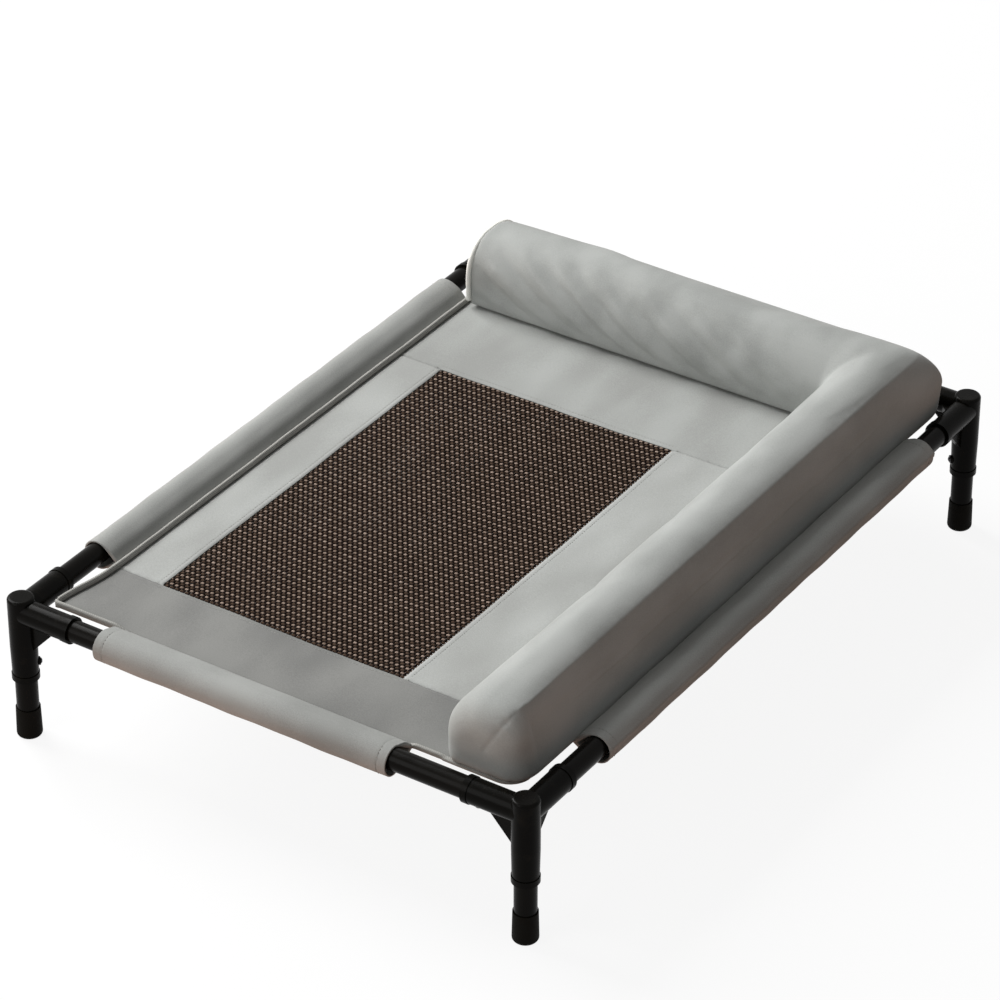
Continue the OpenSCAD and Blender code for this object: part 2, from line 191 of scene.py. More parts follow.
@dataclass(frozen=True)
class Suede(Finish):
    """Brushed polyester suede, knitted and raised: a dry cloth whose nap leaves light and dark strokes."""

    low: str = "#9b9c99"
    high: str = "#b0b2af"
    relief: float = 0.35
    depth: float = 0.5 * MM
    stroke: float = 95 * MM
    # A real nap is about 0.3 mm; it is drawn at 1.4 mm so that it shows in the render.
    nap: float = 1.4 * MM

    def pattern(self, tree: Tree, place: Socket) -> Pattern:
        """Slanting strokes of the nap and its fine grain, relief from the grain, and a weak sheen.

        Args:
            tree: the material's node tree.
            place: Object coordinates.

        Returns:
            Share, height and inputs.
        """
        slant = add(tree, "ShaderNodeMapping",
                    {"Vector": place, "Rotation": (0.0, 0.0, 0.9), "Scale": (1.0, 0.45, 1.0)})
        strokes = add(tree, "ShaderNodeTexNoise",
                      {"Vector": slant.outputs[0], "Scale": 1 / self.stroke, "Detail": 2.0})
        grain = add(tree, "ShaderNodeTexNoise",
                    {"Vector": place, "Scale": 1 / self.nap, "Detail": 2.0, "Roughness": 0.6}).outputs["Fac"]
        share = add(tree, "ShaderNodeMapRange",
                    {"Value": strokes.outputs["Fac"], "From Min": 0.34, "From Max": 0.66})
        fleck = add(tree, "ShaderNodeMapRange",
                    {"Value": grain, "From Min": 0.3, "From Max": 0.7, "To Min": -0.35, "To Max": 0.35})
        both = add(tree, "ShaderNodeMath", {0: share.outputs[0], 1: fleck.outputs[0]},
                   operation="ADD", use_clamp=True)
        return both.outputs[0], grain, {"Roughness": 0.92, "IOR": 1.46, "Specular IOR Level": 0.2,
                                        "Sheen Weight": 0.12, "Sheen Roughness": 0.6,
                                        "Sheen Tint": linear("#e6e7e4")}


@dataclass(frozen=True)
class BindingTape(Finish):
    """Woven polyester binding tape: pale, with fine ribs across its length."""

    low: str = "#8a8984"
    high: str = "#a9a8a3"
    relief: float = 0.3
    depth: float = 0.4 * MM
    # Real ribs are about 0.5 mm apart; they are drawn at about 1.5 mm so that they show.
    rib: float = 1.5 * MM

    def pattern(self, tree: Tree, place: Socket) -> Pattern:
        """Slanting ribs that a little noise disturbs, as colour and relief.

        Args:
            tree: the material's node tree.
            place: Object coordinates.

        Returns:
            Share, height and inputs.
        """
        # A wave texture of scale 1 has bands about a third of a metre apart.
        period = 0.314
        ribs = add(tree, "ShaderNodeTexWave",
                   {"Vector": place, "Scale": period / self.rib, "Distortion": 1.5, "Detail": 2.0},
                   bands_direction="DIAGONAL").outputs["Fac"]
        return ribs, ribs, {"Roughness": 0.8, "Specular IOR Level": 0.3, "Sheen Weight": 0.1}


@dataclass(frozen=True)
class Yarn(Finish):
    """Coated polyester mesh yarn: smooth filaments in a thin dull coat, so a yarn shows by its colour."""

    low: str = "#2a211c"
    high: str = "#3d322b"
    relief: float = 0.3
    depth: float = 0.3 * MM
    # Filaments are about 0.1 mm; their streaks are drawn at 1 mm so that they show.
    filament: float = 1.0 * MM
    drift: float = 9 * MM

    def pattern(self, tree: Tree, place: Socket) -> Pattern:
        """Filament streaks and a slow drift of the dye, relief from the streaks.

        Args:
            tree: the material's node tree.
            place: Object coordinates.

        Returns:
            Share, height and inputs.
        """
        streaks = add(tree, "ShaderNodeTexNoise",
                      {"Vector": place, "Scale": 1 / self.filament, "Detail": 1.0}).outputs["Fac"]
        dye = add(tree, "ShaderNodeTexNoise", {"Vector": place, "Scale": 1 / self.drift, "Detail": 2.0})
        mixed = add(tree, "ShaderNodeMath", {0: streaks, 1: dye.outputs["Fac"]}, operation="ADD")
        share = add(tree, "ShaderNodeMapRange",
                    {"Value": mixed.outputs[0], "From Min": 0.75, "From Max": 1.25})
        return share.outputs[0], streaks, {"Roughness": 0.55, "IOR": 1.53, "Specular IOR Level": 0.02}


@dataclass(frozen=True)
class PowderCoat(Finish):
    """Black powder coat on drawn steel tube: satin, with a faint orange peel."""

    low: str = "#080705"
    high: str = "#110f0c"
    relief: float = 0.12
    peel: float = 1.6 * MM
    drift: float = 40 * MM

    def pattern(self, tree: Tree, place: Socket) -> Pattern:
        """Relief from the orange peel, and gloss and colour from a slow drift of the coat.

        Args:
            tree: the material's node tree.
            place: Object coordinates.

        Returns:
            Share, height and inputs.
        """
        peel = add(tree, "ShaderNodeTexNoise", {"Vector": place, "Scale": 1 / self.peel, "Detail": 1.0})
        drift = add(tree, "ShaderNodeTexNoise",
                    {"Vector": place, "Scale": 1 / self.drift, "Detail": 4.0}).outputs["Fac"]
        gloss = add(tree, "ShaderNodeMapRange",
                    {"Value": drift, "From Min": 0.3, "From Max": 0.7, "To Min": 0.2, "To Max": 0.3})
        return drift, peel.outputs["Fac"], {"Roughness": gloss.outputs[0], "IOR": 1.5,
                                            "Specular IOR Level": 0.05}


@dataclass(frozen=True)
class MouldedPlastic(Finish):
    """Injection-moulded black polypropylene: satin, with a fine spark-eroded grain and a few dull scuffs."""

    low: str = "#090806"
    high: str = "#15130f"
    relief: float = 0.15
    # The mould's grain is about 0.2 mm; it is drawn at 0.9 mm so that it shows.
    grain: float = 0.9 * MM
    wear: float = 22 * MM

    def pattern(self, tree: Tree, place: Socket) -> Pattern:
        """Relief from the mould's grain, and dull scuffs where a broad noise runs high.

        Args:
            tree: the material's node tree.
            place: Object coordinates.

        Returns:
            Share, height and inputs.
        """
        grain = add(tree, "ShaderNodeTexNoise", {"Vector": place, "Scale": 1 / self.grain, "Detail": 2.0})
        wear = add(tree, "ShaderNodeTexNoise",
                   {"Vector": place, "Scale": 1 / self.wear, "Detail": 6.0, "Roughness": 0.7})
        scuffs = add(tree, "ShaderNodeMapRange",
                     {"Value": wear.outputs["Fac"], "From Min": 0.52, "From Max": 0.74}).outputs[0]
        gloss = add(tree, "ShaderNodeMapRange", {"Value": scuffs, "To Min": 0.24, "To Max": 0.42})
        return scuffs, grain.outputs["Fac"], {"Roughness": gloss.outputs[0], "IOR": 1.49,
                                              "Specular IOR Level": 0.045}


@dataclass(frozen=True)
class MouldedRubber(Finish):
    """Moulded black rubber: matt, with a dusty bloom."""

    low: str = "#080705"
    high: str = "#13110d"
    relief: float = 0.2
    bloom: float = 14 * MM
    pebble: float = 1.2 * MM

    def pattern(self, tree: Tree, place: Socket) -> Pattern:
        """Colour and dullness from the bloom, relief from a pebbled grain.

        Args:
            tree: the material's node tree.
            place: Object coordinates.

        Returns:
            Share, height and inputs.
        """
        bloom = add(tree, "ShaderNodeTexNoise",
                    {"Vector": place, "Scale": 1 / self.bloom, "Detail": 5.0}).outputs["Fac"]
        pebble = add(tree, "ShaderNodeTexVoronoi", {"Vector": place, "Scale": 1 / self.pebble})
        dull = add(tree, "ShaderNodeMapRange", {"Value": bloom, "To Min": 0.5, "To Max": 0.8})
        return bloom, pebble.outputs["Distance"], {"Roughness": dull.outputs[0], "IOR": 1.52,
                                                   "Specular IOR Level": 0.045}


@dataclass(frozen=True)
class BlackenedScrew(Finish):
    """Blackened steel screw: dark metal whose blackening is worn in small spots, without relief."""

    low: str = "#3a3a3c"
    high: str = "#77777a"
    spot: float = 2.5 * MM

    def pattern(self, tree: Tree, place: Socket) -> Pattern:
        """Metal whose colour and gloss change at the worn spots.

        Args:
            tree: the material's node tree.
            place: Object coordinates.

        Returns:
            Share, height and inputs.
        """
        wear = add(tree, "ShaderNodeTexNoise",
                   {"Vector": place, "Scale": 1 / self.spot, "Detail": 4.0}).outputs["Fac"]
        spots = add(tree, "ShaderNodeMapRange", {"Value": wear, "From Min": 0.5, "From Max": 0.8})
        gloss = add(tree, "ShaderNodeMapRange", {"Value": wear, "To Min": 0.3, "To Max": 0.5})
        return spots.outputs[0], wear, {"Roughness": gloss.outputs[0], "Metallic": 1.0}


@dataclass(frozen=True)
class FasteningPile(Finish):
    """Nylon hook-and-loop tape: a dense pile of loops or rows of hooks on a woven ground."""

    low: str = "#8d8e8b"
    high: str = "#5d5e5b"
    relief: float = 0.6
    depth: float = 0.6 * MM
    sunken: bool = True
    pitch: float = 1.6 * MM

    def pattern(self, tree: Tree, place: Socket) -> Pattern:
        """Small cells, one for each loop or hook, as colour and relief.

        Args:
            tree: the material's node tree.
            place: Object coordinates.

        Returns:
            Share, height and inputs.
        """
        cells = add(tree, "ShaderNodeTexVoronoi",
                    {"Vector": place, "Scale": 1 / self.pitch, "Randomness": 0.5}).outputs["Distance"]
        share = add(tree, "ShaderNodeMapRange", {"Value": cells, "From Max": 0.6})
        return share.outputs[0], cells, {"Roughness": 0.75}


PANEL_SUEDE = Suede("brushed_suede")
# Front panel suede, darker than the others: painted shade standing in for a shadow that falls on the front of
# the sling.
FRONT_SHADED_SUEDE = Suede("brushed_suede_front_painted_shade", low="#727270", high="#868683")
# Rear panel suede, a little darker than the others: painted shade for the light falling off towards the rear.
REAR_SHADED_SUEDE = Suede("brushed_suede_rear_painted_shade", low="#949592", high="#a8aaa7")
SLEEVE_SUEDE = Suede("brushed_suede_sleeve", low="#8d8e8b", high="#a0a19e")
BOLSTER_SUEDE = Suede("brushed_suede_bolster", low="#999b98", high="#abadaa", stroke=60 * MM)
BINDING = BindingTape("woven_binding_tape")
# Pale piping drawn near white: partly its own pale colour, partly painted light on the side of the cord that
# lies in shade.
PIPING = BindingTape("piping_cloth", low="#dddcd5", high="#f4f4ee")
THREAD = BindingTape("sewing_thread", low="#90908b", high="#a9a9a4", rib=0.8 * MM)
DARK_YARN = Yarn("dark_mesh_yarn", low="#100a07", high="#1d140f")
BROWN_YARN = Yarn("brown_mesh_yarn", low="#3d2f26", high="#58483c")
PALE_YARN = Yarn("pale_mesh_yarn", low="#776559", high="#ad9a8d")
LOOP_PILE = FasteningPile("loop_tape_pile")
HOOK_PILE = FasteningPile("hook_tape", low="#6f706d", high="#434441", pitch=2.0 * MM)


def grid_faces(rows: int, columns: int, wrap_rows: bool = False, wrap_columns: bool = False) -> np.ndarray:
    """Quads of a grid of points that is numbered row by row.

    Args:
        rows: number of rows.
        columns: number of points in a row.
        wrap_rows: join the last row to the first.
        wrap_columns: join the last column to the first.

    Returns:
        Four point numbers for each quad.
    """
    index = np.arange(rows * columns).reshape(rows, columns)
    index = np.concatenate([index, index[:1]]) if wrap_rows else index
    index = np.concatenate([index, index[:, :1]], axis=1) if wrap_columns else index
    return np.stack([index[:-1, :-1], index[1:, :-1], index[1:, 1:], index[:-1, 1:]], axis=-1).reshape(-1, 4)


def make_piece(name: str, points: np.ndarray, *face_sets: np.ndarray, closed: bool = True) -> Piece:
    """Make a smooth mesh object at the origin.

    Args:
        name: the piece's name.
        points: coordinates, three to a point, in any grid shape.
        face_sets: arrays of point numbers, one row to a face.
        closed: the faces enclose a volume, so they are turned to point outwards.

    Returns:
        The new object, linked to the scene.
    """
    points = np.ascontiguousarray(points, dtype=np.float64).reshape(-1, 3)
    if closed:
        fans = [np.stack([np.broadcast_to(f[:, :1], f[:, 2:].shape), f[:, 1:-1], f[:, 2:]], axis=-1)
                for f in face_sets]
        a, b, c = points[np.concatenate([fan.reshape(-1, 3) for fan in fans]).T]
        if np.einsum("ij,ij->", a, np.cross(b, c)) < 0:
            face_sets = tuple(f[:, ::-1] for f in face_sets)
    mesh = bpy.data.meshes.new(name)
    sizes = np.concatenate([np.full(len(f), f.shape[1]) for f in face_sets])
    corners = np.concatenate([f.ravel() for f in face_sets]).astype(np.int32)
    mesh.vertices.add(len(points))
    mesh.vertices.foreach_set("co", points.astype(np.float32).ravel())
    mesh.loops.add(len(corners))
    mesh.loops.foreach_set("vertex_index", corners)
    mesh.polygons.add(len(sizes))
    mesh.polygons.foreach_set("loop_start", np.concatenate([[0], np.cumsum(sizes)[:-1]]).astype(np.int32))
    mesh.update(calc_edges=True)
    mesh.validate()
    mesh.shade_smooth()
    piece = bpy.data.objects.new(name, mesh)
    bpy.context.scene.collection.objects.link(piece)
    return piece


def make_tubes(name: str, tubes: np.ndarray) -> Piece:
    """Make capped tubes as one piece.

    Args:
        name: the piece's name.
        tubes: coordinates by tube, ring and side.

    Returns:
        The new object.
    """
    copies, rings, sides = tubes.shape[:3]
    first = (np.arange(copies) * rings * sides)[:, None, None]
    walls = grid_faces(rings, sides, wrap_columns=True)[None] + first
    start = np.arange(sides)
    caps = np.stack([start, (rings - 1) * sides + start[::-1]])[None] + first
    return make_piece(name, tubes, walls.reshape(-1, 4), caps.reshape(-1, sides))


def settle(piece: Piece, body: Body, slot: Slot, finish: Finish, *nodes: str) -> Piece:
    """Dress a piece, let it ride on its body, and let it stand for CAD nodes.

    Args:
        piece: the finished mesh.
        body: the body it moves with.
        slot: the record's slot of its finish; not used.
        finish: its finish.
        nodes: CAD nodes that it stands for.

    Returns:
        The piece.
    """
    piece.data.materials.clear()
    piece.data.materials.append(finish.material())
    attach(piece, body.value)
    if nodes:
        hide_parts(*nodes)
    LOG.info("%s: %d faces, on %s", piece.name, len(piece.data.polygons), body.value)
    return piece


def span(node: str) -> tuple[np.ndarray, np.ndarray]:
    """Lowest and highest corner of a CAD node."""
    low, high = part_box(node)
    return np.array(low), np.array(high)


def hump(distance: np.ndarray, width: float) -> np.ndarray:
    """Bell curve that is 1 at distance 0 and falls off over width."""
    return np.exp(-(distance / width) ** 2)


def ramp(value: np.ndarray) -> np.ndarray:
    """Value held between 0 and 1."""
    return np.clip(value, 0, 1)


def sines(along: np.ndarray, *waves: tuple) -> np.ndarray:
    """Sum of sine waves, each given by its height, length over 2 pi and phase."""
    return sum(height * np.sin(along / length + phase) for height, length, phase in waves)


def unit(vectors: np.ndarray) -> np.ndarray:
    """Vectors of length 1 in the same directions."""
    return vectors / np.linalg.norm(vectors, axis=-1, keepdims=True)


def rightward(ways: np.ndarray) -> np.ndarray:
    """Unit vectors a quarter turn to the right of directions in a plane."""
    return unit(np.column_stack([ways[:, 1], -ways[:, 0]]))


def walked(path: np.ndarray) -> np.ndarray:
    """Distance walked along a path at each of its points."""
    return np.concatenate([[0.0], np.cumsum(np.linalg.norm(np.diff(path, axis=0), axis=1))])


def resampled(values: np.ndarray, steps: np.ndarray, where: np.ndarray) -> np.ndarray:
    """Values at new distances along a path.

    Args:
        values: a vector for each point of the path.
        steps: distance walked at each point.
        where: the new distances.

    Returns:
        A vector for each new distance, by straight lines between points.
    """
    return np.stack([np.interp(where, steps, column) for column in values.T], axis=-1)


def superellipse(sides: int, power: float) -> tuple[np.ndarray, np.ndarray]:
    """Closed outline of half size 1.

    Args:
        sides: number of points.
        power: power of the cosine and the sine; 1 is a circle and less is squarer.

    Returns:
        Places across and up.
    """
    angle = 2 * np.pi * np.arange(sides) / sides
    across, up = (np.sign(wave) * np.abs(wave) ** power for wave in (np.cos(angle), np.sin(angle)))
    return across, up


def graded(low: float, high: float, step: float, fine: np.ndarray) -> np.ndarray:
    """Grid lines between two edges, closer together at both.

    Args:
        low: first line.
        high: last line.
        step: distance between lines in the middle.
        fine: distances from each edge at which a line is added.

    Returns:
        Rising coordinates, with the lines that crowd another left out.
    """
    crowd = 0.3 * MM
    even = np.linspace(low, high, max(3, round((high - low) / step) + 1))
    lines = np.sort(np.concatenate([even, low + fine, high - fine]))
    lines = lines[(lines > low + crowd) & (lines < high - crowd)]
    lines = lines[np.concatenate([[True], np.diff(lines) > crowd])]
    return np.concatenate([[low], lines, [high]])


def vertex_values(mesh: bpy.types.Mesh, name: str) -> np.ndarray:
    """Read a vector for each vertex of a mesh.

    Args:
        mesh: the mesh.
        name: "co" for places or "normal" for directions.

    Returns:
        Vectors by vertex.
    """
    values = np.empty(len(mesh.vertices) * 3, np.float32)
    mesh.vertices.foreach_get(name, values)
    return values.reshape(-1, 3)


@dataclass(frozen=True)
class Bell:
    """Ridge with the section of a bell curve; it makes a groove where it is taken away."""

    height: float
    width: float

    def at(self, distance: np.ndarray) -> np.ndarray:
        """Height at a distance from the middle line."""
        return self.height * hump(distance, self.width)


@dataclass(frozen=True)
class Ripple:
    """Sine wave that runs in one direction over the cloth."""

    height: float
    way: tuple[float, float]
    length: float
    phase: float

    def at(self, x: np.ndarray, y: np.ndarray) -> np.ndarray:
        """Height of the wave at places along x and y."""
        return self.height * np.sin((self.way[0] * x + self.way[1] * y) / self.length + self.phase)


@dataclass
class ThreadRow:
    """Row of lockstitches: short threads that rise out of the cloth and sink back into it."""

    pitch: float = 4.6 * MM
    length: float = 3.4 * MM
    radius: float = 0.42 * MM
    rings: tuple[float, ...] = (-1.0, -0.55, 0.0, 0.55, 1.0)
    sides: int = 4
    # Height at the middle and how far the ends sink below it, in radii of the thread.
    stand: float = 0.9
    sink: float = 1.3
    blunt: float = 1.08

    def points(self, path: np.ndarray, up: np.ndarray) -> np.ndarray:
        """Stitches along a path.

        Each stitch is a straight tube whose height is a parabola over its length and whose ends taper.

        Args:
            path: points along the seam, in order.
            up: outward direction of the cloth at each point.

        Returns:
            Coordinates by stitch, ring and side.
        """
        steps = walked(path)
        middles = np.arange(self.pitch / 2, steps[-1], self.pitch)
        place = resampled(path, steps, middles)
        ahead, behind = (resampled(path, steps, middles + s * self.pitch / 4) for s in (1, -1))
        way, rise = unit(ahead - behind), unit(resampled(up, steps, middles))
        across = np.cross(way, rise)
        u = np.array(self.rings)
        angle = np.arange(self.sides) * 2 * np.pi / self.sides
        girth = self.radius * np.sqrt(self.blunt - u ** 2)
        height = self.radius * (self.stand - self.sink * u ** 2)
        line = place[:, None] + way[:, None] * (u * self.length / 2)[:, None]
        line = line + rise[:, None] * height[:, None]
        ring = np.cos(angle)[:, None] * across[:, None, None] + np.sin(angle)[:, None] * rise[:, None, None]
        return line[:, :, None] + ring * girth[:, None, None]


def sew(name: str, rows: list[np.ndarray]) -> None:
    """Make rows of stitches one piece of thread on the frame.

    Args:
        name: the piece's name.
        rows: coordinates of each row, by stitch, ring and side.
    """
    settle(make_tubes(name, np.concatenate(rows)), Body.FRAME, Slot.BINDING, THREAD)


@dataclass
class Sling:
    """Four fabric border pieces, sewn together round the mesh window and slung between the rails."""

    sag: float = 6 * MM
    droop: float = 0.8 * MM
    ripples: tuple[Ripple, ...] = (
        Ripple(0.55 * MM, (0.8, 0.6), 31 * MM, 0.6),
        Ripple(0.4 * MM, (-0.45, 0.9), 21 * MM, 2.1),
        Ripple(0.25 * MM, (0.95, 0.3), 12 * MM, 4.0),
    )
    cloth: float = 1.6 * MM
    hem: float = 7 * MM
    beside_seam: float = 4.5 * MM
    row_ends: float = 4 * MM
    row_points: int = 160
    thread_sunk: float = 0.25 * MM
    step: float = 5 * MM
    fine: tuple[float, ...] = (0.8, 1.7, 2.8, 4.2, 5.8, 6.4, 7.0, 7.6, 8.2, 10.0)
    turn: float = 26 * MM
    under: float = 4 * MM
    hem_roll: Bell = Bell(2.4 * MM, 2.6 * MM)
    window_roll: Bell = Bell(1.0 * MM, 1.7 * MM)
    stitch_groove: Bell = Bell(0.15 * MM, 1.0 * MM)
    seam_groove: Bell = Bell(1.1 * MM, 1.6 * MM)
    seam_ridge: Bell = Bell(0.5 * MM, 3 * MM)
    ridge_off: float = 5 * MM
    pucker: Bell = Bell(0.3 * MM, 7 * MM)
    pucker_length: float = 2.3 * MM
    flare_by: tuple[float, float, float] = (-9 * MM, -6 * MM, 5 * MM)
    flare_over: float = 55 * MM
    threads: list[np.ndarray] = field(default_factory=list)

    def __post_init__(self) -> None:
        """Take the sling's plane and the open lying area from the CAD nodes."""
        self.window = span("mesh_panel")
        self.low, self.high = span("front_panel")[0], span("rear_panel")[1]
        self.top = span("front_panel")[1][2]
        self.inner = span("bolster_cover")[1][:2] - BOLSTER_WIDTH

    def height(self, x: np.ndarray, y: np.ndarray) -> np.ndarray:
        """Height of the cloth's upper face.

        A shallow bowl, the product of two squared cosines over the open area, and slow sine ripples. Both die
        out under the bolster and at the edges.

        Args:
            x: places along x.
            y: places along y.

        Returns:
            Heights above the floor.
        """
        middle, half = (self.low[:2] + self.inner) / 2, (self.inner - self.low[:2]) / 2
        u = np.clip((x - middle[0]) / half[0], -1, 1)
        v = np.clip((y - middle[1]) / half[1], -1, 1)
        open_area = np.cos(np.pi * u / 2) ** 2 * np.cos(np.pi * v / 2) ** 2
        edge = np.sqrt(ramp((1 - u ** 2) * (1 - v ** 2)))
        waves = sum(ripple.at(x, y) for ripple in self.ripples)
        return self.top - self.sag * open_area + edge * (waves - self.droop)

    def flared(self, points: np.ndarray) -> np.ndarray:
        """Points, moved out and up near the free front left corner by a bell curve of the distance."""
        away = np.hypot(points[..., 0] - self.low[0], points[..., 1] - self.low[1])
        return points + hump(away, self.flare_over)[..., None] * np.array(self.flare_by)

    def rounded(self, x: np.ndarray, y: np.ndarray) -> tuple[np.ndarray, np.ndarray]:
        """Draw the front right corner in to a quarter circle.

        A point in the corner's square moves towards the circle's middle by the larger of its two distances
        from there, over its distance as the crow flies.

        Args:
            x: places along x.
            y: places along y.

        Returns:
            The new places.
        """
        middle = np.array([self.high[0] - self.turn, self.low[1] + self.turn])
        dx, dy = np.maximum(x - middle[0], 0), np.maximum(middle[1] - y, 0)
        share = np.maximum(dx, dy) / np.maximum(np.hypot(dx, dy), 1e-9)
        inside = (dx > 0) & (dy > 0)
        return np.where(inside, middle[0] + dx * share, x), np.where(inside, middle[1] - dy * share, y)

    def border(self, side: Side) -> Piece:
        """One border piece, a grid over its CAD panel's box that runs on under the bound seam.

        Its edge rolls down at the window, at a seam and beside the standing hem, a stitch groove follows the
        window's hem, and short puckers run across each seam.

        Args:
            side: which side of the sling.

        Returns:
            The piece.
        """
        node = f"{side.value}_panel"
        low, high = span(node)
        fine = np.array(self.fine) * MM
        x, y = np.meshgrid(*(graded(low[i], high[i], self.step, fine) for i in (0, 1)), indexing="ij")
        z = self.height(x, y) - self.hem_roll.at(x - self.low[0])
        x = x + self.under * ((x >= self.high[0]) * 1.0 - (x <= self.low[0]))
        y = y + self.under * ((y >= self.high[1]) * 1.0 - (y <= self.low[1]))
        x, y = self.rounded(x, y)
        near, far = self.window
        beside = np.maximum(np.maximum(near[0] - x, x - far[0]), np.maximum(near[1] - y, y - far[1]))
        z -= self.window_roll.at(beside) + self.stitch_groove.at(beside - self.hem)
        outside = (x < near[0]) | (x > far[0])
        for line in (near[1], far[1]):
            pucker = np.sin(x / self.pucker_length) * self.pucker.at(y - line)
            ridge = self.seam_ridge.at(np.abs(y - line) - self.ridge_off)
            z += outside * (ridge - self.seam_groove.at(y - line) + pucker)
        points = self.flared(np.stack([x, y, z], axis=-1))
        piece = make_piece(node + "_cloth", points, grid_faces(*x.shape), closed=False)
        thick = piece.modifiers.new("cloth", "SOLIDIFY")
        thick.thickness, thick.offset = self.cloth, -1.0
        # The front and rear panels take darker suedes that carry painted shade.
        finish = {Side.FRONT: FRONT_SHADED_SUEDE, Side.REAR: REAR_SHADED_SUEDE}.get(side, PANEL_SUEDE)
        settle(piece, Body.FRAME, Slot.SUEDE, finish, node)
        return piece

    def row(self, start: tuple[float, float], end: tuple[float, float]) -> None:
        """Add a row of stitches on the cloth.

        Args:
            start: where it starts, along x and y.
            end: where it ends.
        """
        place = np.linspace(start, end, self.row_points)
        path = np.column_stack([place, self.height(place[:, 0], place[:, 1]) - self.thread_sunk])
        self.threads.append(ThreadRow().points(path, np.tile([0.0, 0.0, 1.0], (len(path), 1))))

    def build(self) -> None:
        """Make the border pieces and their rows of stitches."""
        for side in Side:
            self.border(side)
        (x0, y0, _), (x1, y1, _) = self.window
        out = self.hem
        corners = [(x0 - out, y0 - out), (x1 + out, y0 - out), (x1 + out, y1 + out), (x0 - out, y1 + out)]
        for start, end in zip(corners, corners[1:] + corners[:1]):
            self.row(start, end)
        for y in (y0 - self.beside_seam, y1 + self.beside_seam):
            self.row((self.low[0] + self.row_ends, y), (x0 - out, y))
            self.row((x1 + out, y), (self.high[0] - self.row_ends, y))
        sew("sling_stitches", self.threads)


@dataclass
class MeshWindow:
    """Close plain weave of coated yarn under the window's hem; every second crosswise yarn is pale."""

    sling: Sling
    warp_pitch: float = 3.8 * MM
    weft_pitch: float = 5.4 * MM
    warp_half: tuple[float, float] = (2.0 * MM, 0.6 * MM)
    weft_half: tuple[float, float] = (2.2 * MM, 0.6 * MM)
    crimp: float = 0.55 * MM
    below: float = 1.0 * MM
    tuck: float = 6 * MM
    dip: float = 1.9 * MM
    dip_at: float = 2 * MM
    dip_over: float = 2.2 * MM
    sides: int = 4

    def yarns(self, axis: int, pitch: float, cross_pitch: float, half: tuple[float, float],
              turn: float) -> np.ndarray:
        """One set of parallel yarns.

        A yarn's height over the cloth is a cosine along it, half a period to each yarn that it crosses, and
        neighbours are half a period apart. Its section is a flat ellipse. It dips at the window's edge by a
        hyperbolic tangent.

        Args:
            axis: the axis that the yarns run along.
            pitch: distance between the yarns of this set.
            cross_pitch: distance between the yarns that they cross.
            half: half width and half thickness of a yarn.
            turn: 0 or pi, so that the two sets pass each other.

        Returns:
            Coordinates by yarn, ring and side.
        """
        low, high = (corner[:2] + grow for corner, grow in zip(self.sling.window, (-self.tuck, self.tuck)))
        other = 1 - axis
        count = int((high[other] - low[other]) / pitch)
        crossings = int((high[axis] - low[axis]) / cross_pitch)
        beside = low[other] + (high[other] - low[other] - (count - 1) * pitch) / 2 + np.arange(count) * pitch
        start = low[axis] + (high[axis] - low[axis] - (crossings - 1) * cross_pitch) / 2
        along = start + (np.arange(2 * crossings + 1) / 2 - 0.75) * cross_pitch
        wave = np.cos(np.pi * ((along[None] - start) / cross_pitch + np.arange(count)[:, None]) + turn)
        places = np.empty((count, len(along), 2))
        places[..., other], places[..., axis] = beside[:, None], along[None]
        rim = np.min(np.minimum(places - low, high - places), axis=-1) - self.tuck
        dip = self.dip * (0.5 - 0.5 * np.tanh((rim - self.dip_at) / self.dip_over))
        level = self.sling.height(places[..., 0], places[..., 1]) - self.below - dip + self.crimp * wave
        angle = -2 * np.pi * np.arange(self.sides) / self.sides + np.pi / 2
        points = np.empty((count, len(along), self.sides, 3))
        points[..., axis] = places[..., axis, None]
        points[..., other] = places[..., other, None] + half[0] * np.cos(angle)
        points[..., 2] = level[..., None] + half[1] * np.sin(angle)
        return points

    def build(self) -> None:
        """Make the dark lengthwise yarns and the crosswise ones, pale and brown in turn."""
        warp = self.yarns(1, self.warp_pitch, self.weft_pitch, self.warp_half, 0.0)
        weft = self.yarns(0, self.weft_pitch, self.warp_pitch, self.weft_half, np.pi)
        for name, yarns, finish in (("mesh_window_warp", warp, DARK_YARN),
                                    ("mesh_window_weft", weft[::2], PALE_YARN),
                                    ("mesh_window_brown_weft", weft[1::2], BROWN_YARN)):
            settle(make_tubes(name, yarns), Body.FRAME, Slot.MESH, finish, "mesh_panel")


